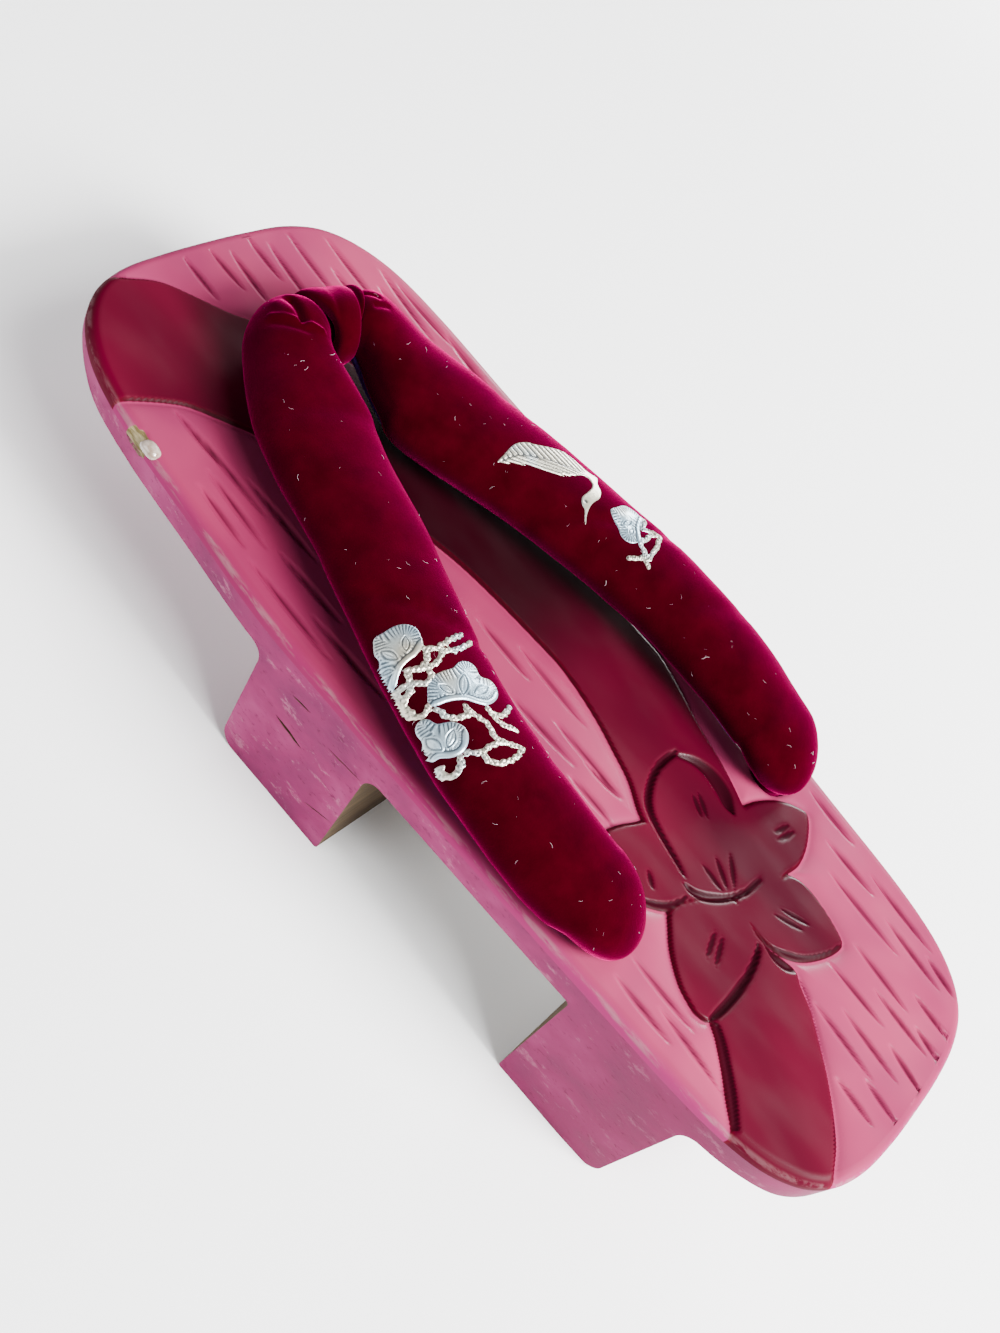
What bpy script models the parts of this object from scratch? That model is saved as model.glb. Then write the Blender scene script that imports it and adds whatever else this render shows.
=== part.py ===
"""Carved wooden geta sandal with padded straps.

Metres, +Z up, toe toward +Y, the wearer's right toward +X. The origin is on the floor, under
the middle of the board. The board and its two teeth are one block of wood. One padded tube,
open at both ends, makes the two straps; a velvet loop holds its middle down at the toe, and
cord knots hold the loop and the strap's ends under the board.
"""
import math

import bmesh
import bpy
from mathutils import Matrix, Vector

# Board, one block with its teeth
LENGTH = 0.2312
BALL_WIDTH = 0.0926
BOARD_THICKNESS = 0.0090
TOOTH_HEIGHT = 0.0323
TOP_DISH = 0.0026
HEEL_RISE = 0.0018
RIM_RADIUS = 0.0025

# Teeth: where each face meets the floor, and how far it leans by the time it meets the board
FRONT_TOOTH_FRONT = 0.0286
FRONT_TOOTH_BACK = -0.0023
FRONT_TOOTH_FRONT_LEAN = 0.0024
FRONT_TOOTH_BACK_LEAN = 0.0021
REAR_TOOTH_FRONT = -0.0598
REAR_TOOTH_BACK = -0.0883
REAR_TOOTH_FRONT_LEAN = 0.0034
REAR_TOOTH_BACK_LEAN = 0.0010
FRONT_TOE_ROUND = 0.0045
REAR_TOE_ROUND = 0.0030
SHARP_ROUND = 0.0009
ROOT_FILLET = 0.0035

# Holes for the straps; the rear cord knots leave this room in front of the rear tooth's foot
HOLE_RADIUS = 0.0050
FRONT_HOLE_INSET = 0.0356
REAR_HOLE_X = 0.0310
REAR_KNOT_ROOM = 0.0041

# Strap, a padded tube
STRAP_WIDTH = 0.0250
STRAP_THICKNESS = 0.0138
STRAP_WALL = 0.0020
STRAP_RISE = 0.0084
PINCH_RADIUS = 0.0040
PINCH_RISE = 0.0106

# The toe knot has turned on its hole, right strap back and left strap forward, and leans right
KNOT_TURN = 15.0
KNOT_LEAN = 0.0034
KNOT_REACH = 0.055

# Toe loop, a flat tube over the pinched middle of the strap, wide in front and narrow behind
LOOP_FRONT_WIDTH = 0.0136
LOOP_BACK_WIDTH = 0.0052
LOOP_THICKNESS = 0.0036
LOOP_WALL = 0.0010
LOOP_LEG_WIDTH = 0.0072

# Cord knots under the board
CORD_RADIUS = 0.0021
KNOT_RADIUS = 0.0062
KNOT_HEIGHT = 0.0070

# Room left where parts meet, and how far down a hole the strap's ends and the loop's legs reach
FIT_GAP = 0.0003
LOOP_GAP = 0.00045
END_DEPTH = 0.0072
LEG_DEPTH = 0.0068
CORD_DEPTH = 0.0018

# Half outline of the board: along is a share of half the length, across of half the ball width
OUTLINE = (
    # along, across
    (1.000, 0.000),
    (0.998, 0.250),
    (0.990, 0.480),
    (0.962, 0.665),
    (0.905, 0.805),
    (0.815, 0.905),
    (0.680, 0.955),
    (0.500, 0.978),
    (0.300, 1.000),
    (0.100, 0.976),
    (-0.120, 0.944),
    (-0.350, 0.912),
    (-0.560, 0.878),
    (-0.740, 0.842),
    (-0.850, 0.786),
    (-0.920, 0.698),
    (-0.964, 0.580),
    (-0.988, 0.420),
    (-0.998, 0.220),
    (-1.000, 0.000),
)

# Wood left between the top and the underside, as a share of the board's thickness
UNDERSIDE_FRONT = (
    # along, thickness
    (1.050, 0.38),
    (1.000, 0.44),
    (0.930, 0.58),
    (0.860, 0.73),
    (0.800, 0.91),
    (0.740, 0.95),
    (0.600, 0.96),
    (0.330, 0.97),
)
UNDERSIDE_MIDDLE = (
    # along, thickness
    (-0.060, 1.03),
    (-0.200, 1.01),
    (-0.320, 1.00),
    (-0.470, 0.99),
)
UNDERSIDE_REAR = (
    # along, thickness
    (-0.810, 1.05),
    (-0.870, 1.03),
    (-0.930, 1.12),
    (-0.962, 1.08),
    (-0.986, 0.92),
    (-1.000, 0.70),
    (-1.050, 0.25),
)

# Right half of the strap where it swells out of the loop. The outer and the inner edge are
# places in plan from the front hole, in shares of the strap's width; rise: share of the strap's
# rise over the board; thick: share of its thickness.
TOE_SECTIONS = (
    # outer x, outer y, inner x, inner y, rise, thick
    (0.316, 0.250, 0.136, -0.176, 1.32, 0.78),
    (0.440, 0.284, 0.172, -0.260, 1.29, 0.92),
    (0.590, 0.236, 0.192, -0.390, 1.21, 1.00),
    (0.735, 0.080, 0.172, -0.560, 1.12, 1.02),
    (0.865, -0.200, 0.148, -0.800, 1.05, 1.02),
)

# Along the board. along: share of the way from the front hole to the rear holes; edge: the outer
# edge's share of the board's half width, which it reaches where the heel rests; rise, wide,
# thick: shares of the strap's own; tilt: degrees that the top face turns outward.
STRAP_SECTIONS = (
    # along, edge, rise, wide, thick, tilt
    (0.172, 0.616, 1.01, 1.04, 1.01, 7.0),
    (0.314, 0.721, 1.00, 1.02, 1.00, 7.0),
    (0.456, 0.830, 1.00, 0.97, 0.97, 7.0),
    (0.655, 0.958, 1.00, 0.94, 0.96, 4.0),
    (0.827, 0.992, 0.93, 0.94, 0.93, 0.0),
    (0.924, 0.963, 0.81, 0.90, 0.84, -2.0),
)

# The rounded end over a rear hole. over, under: how far the section's upper and lower edge are
# past the hole's middle, in shares of its radius; high, low: their heights above the board in
# shares of the strap's thickness; wide: share of its width.
NOSE_SECTIONS = (
    # over, high, under, low, wide
    (-1.10, 0.880, -1.62, 0.115, 0.86),
    (0.10, 0.740, -1.38, 0.090, 0.80),
    (0.92, 0.490, -1.18, 0.075, 0.70),
    (1.26, 0.220, -1.04, 0.060, 0.56),
    (0.96, 0.040, -0.94, 0.022, 0.39),
)

# Where sections lie: across the pinched middle, down the neck in a rear hole and down the toe
# loop's legs as shares of each one's reach, and round the loop in degrees
PINCH_SHARES = (0.0, 0.6, 1.0)
NECK_SHARES = (0.1, 0.5, 1.0)
LEG_SHARES = (1.0, 0.5, -0.08)
LOOP_TURNS = (-38.0, -15.0, 10.0, 35.0, 62.0, 90.0)

# How far the cutting shapes pass the board, as shares of its height, length and width
PAST_HEIGHT = 1.5
PAST_LENGTH = 1.05
PAST_WIDTH = 1.2
BELOW_FLOOR = 0.1

# Facets: steps from each row of a table to the next, and sides of what is round
OUTLINE_STEPS = 3
UNDERSIDE_STEPS = 2
RIM_STEPS = 4
HOLE_SIDES = 24
STRAP_STEPS = 2
STRAP_SIDES = 20
LOOP_STEPS = 2
LOOP_SIDES = 12
KNOT_SIDES = 16
KNOT_STEPS = 8
CORNER_STEPS = 4
SHARP_DEGREES = 35.0

TOP_HEIGHT = TOOTH_HEIGHT + BOARD_THICKNESS
HALF_LENGTH = LENGTH / 2
HALF_BALL = BALL_WIDTH / 2
FRONT_HOLE_Y = HALF_LENGTH - FRONT_HOLE_INSET
REAR_HOLE_Y = REAR_TOOTH_FRONT + KNOT_RADIUS + REAR_KNOT_ROOM


def clear_scene():
    """Removes whatever the open file holds."""
    for thing in list(bpy.data.objects):
        bpy.data.objects.remove(thing, do_unlink=True)


def finish(name, colour, roughness, metallic=0.0):
    """A Principled material; colour is linear red, green and blue."""
    made = bpy.data.materials.new(name)
    made.use_nodes = True
    shader = made.node_tree.nodes["Principled BSDF"]
    shader.inputs["Base Color"].default_value = (*colour, 1.0)
    shader.inputs["Roughness"].default_value = roughness
    shader.inputs["Metallic"].default_value = metallic
    return made


def add_object(name, shape, material):
    """Turns a bmesh into a named object, shaded smooth with its sharp edges kept."""
    bmesh.ops.recalc_face_normals(shape, faces=shape.faces)
    mesh = bpy.data.meshes.new(name)
    shape.to_mesh(mesh)
    shape.free()
    mesh.shade_smooth()
    mesh.set_sharp_from_angle(angle=math.radians(SHARP_DEGREES))
    mesh.materials.append(material)
    thing = bpy.data.objects.new(name, mesh)
    bpy.context.collection.objects.link(thing)
    return thing


def add_cutter(thing):
    """Keeps a cutting shape out of the finished model."""
    thing.hide_render = True
    thing.display_type = "WIRE"
    return thing


def cut(thing, cutter, operation):
    modifier = thing.modifiers.new(cutter.name, "BOOLEAN")
    modifier.operation = operation
    modifier.solver = "EXACT"
    modifier.object = add_cutter(cutter)


def smooth_rows(rows, each, before=None, after=None):
    """Points on one smooth curve through rows of numbers, so many from each row to the next.

    The first three columns are a place, and the others ride along. A row in before or after
    lies beyond an end and only sets the curve's direction there.
    """
    rows = [tuple(row) for row in rows]
    first = before or tuple(2 * a - b for a, b in zip(rows[0], rows[1]))
    last = after or tuple(2 * a - b for a, b in zip(rows[-1], rows[-2]))
    padded = [first] + rows + [last]
    reach = [0.0]
    for here, there in zip(padded, padded[1:]):
        reach.append(reach[-1] + max(math.dist(here[:3], there[:3]), 1e-9))

    def slope(i):
        span = reach[i + 1] - reach[i - 1]
        return [(b - a) / span for a, b in zip(padded[i - 1], padded[i + 1])]

    points = []
    for i in range(1, len(padded) - 2):
        span = reach[i + 1] - reach[i]
        for step in range(each):
            t = step / each
            near = (1 + 2 * t) * (1 - t) ** 2
            far = t * t * (3 - 2 * t)
            leave = t * (1 - t) ** 2 * span
            arrive = t * t * (t - 1) * span
            columns = zip(padded[i], padded[i + 1], slope(i), slope(i + 1))
            points.append(tuple(near * a + far * b + leave * m + arrive * n for a, b, m, n in columns))
    points.append(rows[-1])
    return points


def top_height(y):
    """Height of the board's dished top at a place along it."""
    share = y / HALF_LENGTH
    return TOP_HEIGHT + TOP_DISH * share ** 2 - HEEL_RISE * share


def share_between(rows, along):
    """Reads a two-column table, straight between its rows."""
    rows = sorted(rows)
    for (low, a), (high, b) in zip(rows, rows[1:]):
        if along <= high or high == rows[-1][0]:
            return a + (b - a) * (along - low) / (high - low)


def underside_height(y, rows):
    return top_height(y) - BOARD_THICKNESS * share_between(rows, y / HALF_LENGTH)


def underside_points(rows, each):
    """Smooth underside from one row to the last, as corners with no rounding."""
    table = [(along * HALF_LENGTH, underside_height(along * HALF_LENGTH, rows), 0.0) for along, _ in rows]
    return [(y, z, 0.0) for y, z, _ in smooth_rows(table, each)]


def rounded(corners):
    """Replaces each corner that has a radius by an arc that touches both its sides."""
    outline = []
    count = len(corners)
    for i, (y, z, radius) in enumerate(corners):
        here = Vector((y, z))
        if not radius:
            outline.append(here)
            continue
        back = (Vector(corners[i - 1][:2]) - here).normalized()
        on = (Vector(corners[(i + 1) % count][:2]) - here).normalized()
        half = back.angle(on) / 2
        middle = here + (back + on).normalized() * radius / math.sin(half)
        start = here + back * radius / math.tan(half) - middle
        end = here + on * radius / math.tan(half) - middle
        turn = start.angle_signed(end)
        for step in range(CORNER_STEPS + 1):
            spoke = start.copy()
            spoke.rotate(Matrix.Rotation(-turn * step / CORNER_STEPS, 2))
            outline.append(middle + spoke)
    return outline


def side_profile():
    """Outline of the block seen from the side: underside, teeth, and room above the top."""
    front_root = FRONT_TOOTH_FRONT + FRONT_TOOTH_FRONT_LEAN
    front_back_root = FRONT_TOOTH_BACK + FRONT_TOOTH_BACK_LEAN
    rear_root = REAR_TOOTH_FRONT + REAR_TOOTH_FRONT_LEAN
    rear_back_root = REAR_TOOTH_BACK + REAR_TOOTH_BACK_LEAN
    above = PAST_HEIGHT * TOP_HEIGHT
    ends = PAST_LENGTH * HALF_LENGTH
    corners = [(ends, above, 0.0)]
    corners += underside_points(UNDERSIDE_FRONT, UNDERSIDE_STEPS)
    corners += [
        (front_root, underside_height(front_root, UNDERSIDE_FRONT), ROOT_FILLET),
        (FRONT_TOOTH_FRONT, 0.0, FRONT_TOE_ROUND),
        (FRONT_TOOTH_BACK, 0.0, SHARP_ROUND),
        (front_back_root, underside_height(front_back_root, UNDERSIDE_MIDDLE), ROOT_FILLET),
    ]
    corners += underside_points(UNDERSIDE_MIDDLE, UNDERSIDE_STEPS)
    corners += [
        (rear_root, underside_height(rear_root, UNDERSIDE_MIDDLE), SHARP_ROUND),
        (REAR_TOOTH_FRONT, 0.0, SHARP_ROUND),
        (REAR_TOOTH_BACK, 0.0, REAR_TOE_ROUND),
        (rear_back_root, underside_height(rear_back_root, UNDERSIDE_REAR), ROOT_FILLET),
    ]
    corners += underside_points(UNDERSIDE_REAR, UNDERSIDE_STEPS)
    corners.append((-ends, above, 0.0))
    return rounded(corners)


def plan_points():
    """Right half of the board's outline, toe to heel, with the outward direction at each."""
    rows = [(across * HALF_BALL, along * HALF_LENGTH, 0.0) for along, across in OUTLINE]
    mirror_toe = (-rows[1][0], rows[1][1], 0.0)
    mirror_heel = (-rows[-2][0], rows[-2][1], 0.0)
    places = [Vector(p) for p in smooth_rows(rows, OUTLINE_STEPS, mirror_toe, mirror_heel)]
    outward = []
    for i in range(len(places)):
        ahead = places[min(i + 1, len(places) - 1)]
        behind = places[max(i - 1, 0)]
        run = (ahead - behind).normalized()
        outward.append(Vector((-run.y, run.x, 0.0)))
    outward[0] = Vector((0.0, 1.0, 0.0))
    outward[-1] = Vector((0.0, -1.0, 0.0))
    return places, outward


def board_ring(shape, places, outward, inset, drop):
    """One ring round the board, inset from its outline and drop below the top, or flat."""
    right = []
    for place, out in zip(places, outward):
        at = place - out * inset
        height = -BELOW_FLOOR * TOP_HEIGHT if drop is None else top_height(at.y) - drop
        right.append(Vector((max(at.x, 0.0), at.y, height)))
    left = [Vector((-at.x, at.y, at.z)) for at in right[-2:0:-1]]
    return [shape.verts.new(at) for at in right + left]


def board_blank():
    """The board's outline as a block, with the dished top and its rounded rim."""
    shape = bmesh.new()
    places, outward = plan_points()
    rings = [board_ring(shape, places, outward, 0.0, None)]
    for step in range(RIM_STEPS + 1):
        angle = math.radians(90) * step / RIM_STEPS
        inset = RIM_RADIUS * (1 - math.cos(angle))
        drop = RIM_RADIUS * (1 - math.sin(angle))
        rings.append(board_ring(shape, places, outward, inset, drop))
    count = len(rings[0])
    for low, high in zip(rings, rings[1:]):
        for i in range(count):
            j = (i + 1) % count
            shape.faces.new((low[i], low[j], high[j], high[i]))
    for ring in (rings[0], rings[-1]):
        for i in range(count // 2):
            corners = (ring[i], ring[i + 1], ring[(count - i - 1) % count], ring[(count - i) % count])
            shape.faces.new(list(dict.fromkeys(corners)))
    return shape


def block_from_profile(outline, half_width):
    """A side outline carried straight across the board."""
    shape = bmesh.new()
    near = [shape.verts.new((-half_width, at.x, at.y)) for at in outline]
    face = shape.faces.new(near)
    grown = bmesh.ops.extrude_face_region(shape, geom=[face])
    moved = [item for item in grown["geom"] if isinstance(item, bmesh.types.BMVert)]
    bmesh.ops.translate(shape, verts=moved, vec=(2 * half_width, 0.0, 0.0))
    return shape


def upright_cylinder(x, y, low, high, radius, sides):
    shape = bmesh.new()
    place = Matrix.Translation((x, y, (low + high) / 2))
    bmesh.ops.create_cone(
        shape, cap_ends=True, segments=sides, radius1=radius, radius2=radius,
        depth=high - low, matrix=place,
    )
    return shape


def hole_places():
    return {
        "front": (0.0, FRONT_HOLE_Y),
        "rear_left": (-REAR_HOLE_X, REAR_HOLE_Y),
        "rear_right": (REAR_HOLE_X, REAR_HOLE_Y),
    }


def make_dai(wood):
    """The board with its teeth, sawn in plan and in profile, then bored for the straps."""
    board = add_object("dai", board_blank(), wood)
    saw = block_from_profile(side_profile(), PAST_WIDTH * HALF_BALL)
    profile = add_object("profile_cutter", saw, wood)
    cut(board, profile, "INTERSECT")
    for name, (x, y) in hole_places().items():
        hole = upright_cylinder(x, y, TOOTH_HEIGHT / 2, PAST_HEIGHT * TOP_HEIGHT, HOLE_RADIUS, HOLE_SIDES)
        cut(board, add_object("hole_cutter_" + name, hole, wood), "DIFFERENCE")
    return board


def section_ring(shape, station, sides, wall):
    """One oval cross-section of a tube; its width and height vectors reach from the centre."""
    centre, across, upward = (Vector(station[i:i + 3]) for i in (0, 3, 6))
    across = across * (1 - wall / across.length)
    upward = upward * (1 - wall / upward.length)
    ring = []
    for i in range(sides):
        angle = math.tau * i / sides
        ring.append(shape.verts.new(centre + across * math.cos(angle) + upward * math.sin(angle)))
    return ring


def hollow_tube(stations, sides, wall):
    """A tube with a wall, open at both ends."""
    shape = bmesh.new()
    outside = [section_ring(shape, station, sides, 0.0) for station in stations]
    inside = [section_ring(shape, station, sides, wall) for station in stations]
    for skin in (outside, inside):
        for near, far in zip(skin, skin[1:]):
            for i in range(sides):
                j = (i + 1) % sides
                shape.faces.new((near[i], near[j], far[j], far[i]))
    for end in (0, -1):
        for i in range(sides):
            j = (i + 1) % sides
            shape.faces.new((outside[end][i], outside[end][j], inside[end][j], inside[end][i]))
    return shape


def upright_row(outer, inner, height, half_thickness):
    """A section whose edges stand over two places in plan."""
    centre = (Vector(outer) + Vector(inner)) / 2
    across = (Vector(outer) - Vector(inner)) / 2
    return (centre.x, centre.y, height, across.x, across.y, 0.0, 0.0, 0.0, half_thickness)


def loop_half_width(ahead):
    """Half width of the toe loop at a distance ahead of the front hole."""
    share = min(max((ahead + PINCH_RADIUS) / (2 * PINCH_RADIUS), 0.0), 1.0)
    return (LOOP_BACK_WIDTH + (LOOP_FRONT_WIDTH - LOOP_BACK_WIDTH) * share) / 2


def toe_rows():
    """The strap's pinched middle, then its swelling on the right of the loop."""
    rows = []
    pinch_height = top_height(FRONT_HOLE_Y) + PINCH_RISE
    for share in PINCH_SHARES:
        outer = (share * (loop_half_width(PINCH_RADIUS) + FIT_GAP), FRONT_HOLE_Y + PINCH_RADIUS)
        inner = (share * (loop_half_width(-PINCH_RADIUS) + FIT_GAP), FRONT_HOLE_Y - PINCH_RADIUS)
        rows.append(upright_row(outer, inner, pinch_height, PINCH_RADIUS))
    for outer_x, outer_y, inner_x, inner_y, rise, thick in TOE_SECTIONS:
        outer = (outer_x * STRAP_WIDTH, FRONT_HOLE_Y + outer_y * STRAP_WIDTH)
        inner = (inner_x * STRAP_WIDTH, FRONT_HOLE_Y + inner_y * STRAP_WIDTH)
        height = top_height((outer[1] + inner[1]) / 2) + rise * STRAP_RISE
        rows.append(upright_row(outer, inner, height, thick * STRAP_THICKNESS / 2))
    return rows


def strap_middle(along, edge, rise, wide):
    """Middle of one of the sections of the strap's run over the board."""
    x = edge * HALF_BALL - wide * STRAP_WIDTH / 2
    y = FRONT_HOLE_Y + (REAR_HOLE_Y - FRONT_HOLE_Y) * along
    return Vector((x, y, top_height(y) + rise * STRAP_RISE))


def along_rows(before, after):
    """The strap's run over the board, each section square to it."""
    centres = [strap_middle(*section[:4]) for section in STRAP_SECTIONS]
    centres = [Vector(before)] + centres + [Vector(after)]
    rows = []
    for i, (_, _, _, wide, thick, tilt) in enumerate(STRAP_SECTIONS, start=1):
        run = (centres[i + 1] - centres[i - 1]).normalized()
        across = Vector((-run.y, run.x, 0.0)).normalized()
        tip = Matrix.Rotation(math.radians(tilt), 3, run)
        across = tip @ across * wide * STRAP_WIDTH / 2
        upward = tip @ run.cross(across).normalized() * thick * STRAP_THICKNESS / 2
        rows.append((*centres[i], *across, *upward))
    return rows


def nose_rows(run):
    """The strap's rounded end over the right rear hole, then its neck in the hole."""
    hole = Vector((REAR_HOLE_X, REAR_HOLE_Y, top_height(REAR_HOLE_Y)))
    side = Vector((-run.y, run.x, 0.0))
    lift = Vector((0.0, 0.0, 1.0))
    rows = []
    for over, high, under, low, wide in NOSE_SECTIONS:
        top = hole + run * over * HOLE_RADIUS + lift * high * STRAP_THICKNESS
        bottom = hole + run * under * HOLE_RADIUS + lift * low * STRAP_THICKNESS
        rows.append((*((top + bottom) / 2), *(side * wide * STRAP_WIDTH / 2), *((top - bottom) / 2)))
    neck = HOLE_RADIUS - FIT_GAP
    for share in NECK_SHARES:
        rows.append((*(hole - lift * share * END_DEPTH), *(side * neck), *(run * neck)))
    return rows


def strap_rows():
    """Right half of the strap: centre, width vector and height vector of each section."""
    toe = toe_rows()
    last = strap_middle(*STRAP_SECTIONS[-1][:4])
    run = Vector((REAR_HOLE_X - last.x, REAR_HOLE_Y - last.y, 0.0)).normalized()
    nose = nose_rows(run)
    return toe + along_rows(toe[-1][:3], nose[0][:3]) + nose


def settled(shape):
    """Turns and leans what is near the front hole, less further away and not below the top."""
    for vert in shape.verts:
        offset = Vector((vert.co.x, vert.co.y - FRONT_HOLE_Y))
        nearness = max(0.0, 1.0 - offset.length / KNOT_REACH)
        share = nearness * nearness * (3 - 2 * nearness)
        offset.rotate(Matrix.Rotation(-math.radians(KNOT_TURN) * share, 2))
        rise = (vert.co.z - top_height(vert.co.y)) / PINCH_RISE
        vert.co.x = offset.x + KNOT_LEAN * share * min(max(rise, 0.0), 1.0)
        vert.co.y = FRONT_HOLE_Y + offset.y
    return shape


def mirrored(row):
    """The same section on the other side of the sandal's middle."""
    return tuple(-value if i in (0, 3, 6) else value for i, value in enumerate(row))


def make_strap(velvet):
    """Both straps, one tube from rear hole to rear hole, pinched at the toe."""
    rows = strap_rows()
    ghost = (-rows[1][0],) + rows[1][1:]
    right = smooth_rows(rows, STRAP_STEPS, before=ghost)
    left = [mirrored(row) for row in right[:0:-1]]
    tube = hollow_tube(left + right, STRAP_SIDES, STRAP_WALL)
    return add_object("strap", settled(tube), velvet)


def make_toe_loop(velvet):
    """A flat tube that stands in the front hole and passes over the strap's middle."""
    half = LOOP_THICKNESS / 2
    ring_radius = PINCH_RADIUS + LOOP_GAP + half
    spread = half + FIT_GAP / 2
    mouth = top_height(FRONT_HOLE_Y)
    narrow = LOOP_LEG_WIDTH / 2
    path = [(spread, mouth - share * LEG_DEPTH, 0.0) for share in LEG_SHARES]
    for degrees in LOOP_TURNS:
        angle = math.radians(degrees)
        up = mouth + PINCH_RISE + ring_radius * math.sin(angle)
        path.append((ring_radius * math.cos(angle), up, degrees))
    rows = []
    for side, half_path in ((1.0, path), (-1.0, path[-2::-1])):
        for out, height, degrees in half_path:
            wide = loop_half_width(side * out)
            if height < mouth + PINCH_RADIUS:
                wide = min(wide, narrow)
            across = side * half * math.cos(math.radians(degrees))
            up = half * math.sin(math.radians(degrees))
            rows.append((0.0, FRONT_HOLE_Y + side * out, height, wide, 0.0, 0.0, 0.0, across, up))
    tube = hollow_tube(smooth_rows(rows, LOOP_STEPS), LOOP_SIDES, LOOP_WALL)
    return add_object("toe_loop", settled(tube), velvet)


def turned(profile, x, y, sides):
    """A closed round solid from radius and height pairs, bottom to top."""
    shape = bmesh.new()
    rings = []
    for radius, height in profile:
        spokes = range(sides) if radius else range(1)
        ring = []
        for i in spokes:
            angle = math.tau * i / sides
            ring.append(shape.verts.new((x + radius * math.cos(angle), y + radius * math.sin(angle), height)))
        rings.append(ring)
    for low, high in zip(rings, rings[1:]):
        for i in range(sides):
            j = (i + 1) % sides
            corners = (low[i % len(low)], low[j % len(low)], high[j % len(high)], high[i % len(high)])
            shape.faces.new(list(dict.fromkeys(corners)))
    return shape


def make_knot(name, x, y, rows, stem_radius, stem_top, cord):
    """A round knot drawn up against the hole's lower edge, with its cord standing in the hole."""
    half_height = KNOT_HEIGHT / 2
    seat = half_height * math.sqrt(1 - (HOLE_RADIUS / KNOT_RADIUS) ** 2)
    middle = underside_height(y, rows) - FIT_GAP - seat
    low = -math.pi / 2
    high = math.acos(stem_radius / KNOT_RADIUS)
    profile = [(0.0, middle - half_height)]
    for step in range(1, KNOT_STEPS + 1):
        angle = low + (high - low) * step / KNOT_STEPS
        profile.append((KNOT_RADIUS * math.cos(angle), middle + half_height * math.sin(angle)))
    profile += [(stem_radius, stem_top), (0.0, stem_top)]
    return add_object(name, turned(profile, x, y, KNOT_SIDES), cord)


def make_knots(cord):
    neck = HOLE_RADIUS - FIT_GAP
    legs_end = top_height(FRONT_HOLE_Y) - LEG_DEPTH
    make_knot("front_knot", 0.0, FRONT_HOLE_Y, UNDERSIDE_FRONT, neck, legs_end - FIT_GAP, cord)
    cord_top = top_height(REAR_HOLE_Y) - CORD_DEPTH
    for name, x in (("rear_knot_left", -REAR_HOLE_X), ("rear_knot_right", REAR_HOLE_X)):
        make_knot(name, x, REAR_HOLE_Y, UNDERSIDE_MIDDLE, CORD_RADIUS, cord_top, cord)


def main():
    clear_scene()
    wood = finish("pink_lacquer", (0.56, 0.13, 0.26), 0.30)
    velvet = finish("crimson_velvet", (0.12, 0.0, 0.02), 0.85)
    cord = finish("hemp_cord", (0.30, 0.22, 0.13), 0.90)
    make_dai(wood)
    make_strap(velvet)
    make_toe_loop(velvet)
    make_knots(cord)


main()
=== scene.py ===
"""Carved wooden geta sandal with padded velvet straps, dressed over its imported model.

Metres, +Z up, toe toward +Y. One section for each piece or group of like pieces, in the order
in which such a sandal is made: board, carving, straps, toe loop, cords, foil, then its wear.
"""
import math
from functools import partial

import bmesh
import bpy
import numpy as np
from mathutils import Matrix, Vector
from mathutils.bvhtree import BVHTree


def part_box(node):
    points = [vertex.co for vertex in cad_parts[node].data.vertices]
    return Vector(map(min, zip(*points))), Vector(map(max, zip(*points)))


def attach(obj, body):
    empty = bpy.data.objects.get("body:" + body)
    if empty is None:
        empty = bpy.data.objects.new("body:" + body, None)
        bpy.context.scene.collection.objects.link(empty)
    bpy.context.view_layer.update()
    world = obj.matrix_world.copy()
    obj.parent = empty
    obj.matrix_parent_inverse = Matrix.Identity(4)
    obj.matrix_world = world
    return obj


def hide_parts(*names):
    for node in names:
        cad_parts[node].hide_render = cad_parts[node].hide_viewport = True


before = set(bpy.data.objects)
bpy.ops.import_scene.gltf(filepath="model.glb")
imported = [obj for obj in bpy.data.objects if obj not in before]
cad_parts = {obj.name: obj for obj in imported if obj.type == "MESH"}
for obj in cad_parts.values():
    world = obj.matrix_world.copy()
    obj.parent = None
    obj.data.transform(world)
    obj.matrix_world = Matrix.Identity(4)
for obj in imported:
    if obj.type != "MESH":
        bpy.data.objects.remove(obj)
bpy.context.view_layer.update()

# Camera. The picture was taken by hand from the wearer's left, looking down at about 49
# degrees, with the camera rolled so that the toe points to the upper left.
FRAME_HEIGHT = 1333
FOCAL_PIXELS = 1324.9
SENSOR = 36.0
CAMERA_PLACE = Vector((-0.1817, -0.0289, 0.2417))
CAMERA_RIGHT = Vector((0.6413, -0.6184, 0.4541))
CAMERA_AHEAD = Vector((0.6469, 0.1176, -0.7535))

camera_data = bpy.data.cameras.new("camera")
camera_data.sensor_width = SENSOR
camera_data.lens = SENSOR * FOCAL_PIXELS / FRAME_HEIGHT
camera_data.clip_start = 0.01
camera = bpy.data.objects.new("camera", camera_data)
bpy.context.scene.collection.objects.link(camera)
ahead = CAMERA_AHEAD.normalized()
right = (CAMERA_RIGHT - ahead * CAMERA_RIGHT.dot(ahead)).normalized()
turn = Matrix((right, right.cross(ahead), -ahead)).transposed()
camera.matrix_world = Matrix.Translation(CAMERA_PLACE) @ turn.to_4x4()
bpy.context.scene.camera = camera

# Studio. A white matte floor under four soft lights: two beyond the heel, a low one on the right
# that catches the edges facing it and a weak one on the left. What the lacquer mirrors towards
# the camera is kept dim, so that its colours stay deep.
FLOOR_REACH = 3.0
FLOOR_COLOUR = "#FBFBFB"
SURROUND_COLOUR = "#F2F4FF"
SURROUND_STRENGTH = 0.26
LIGHTS = (
    # name, place, size, watts
    ("main", (0.14, -0.95, 0.78), 0.50, 62.0),
    ("high", (-0.10, -0.65, 0.90), 0.55, 24.0),
    ("right", (1.00, 0.14, 0.34), 0.50, 20.0),
    ("left", (-0.90, 0.50, 0.55), 0.60, 5.0),
)


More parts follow.
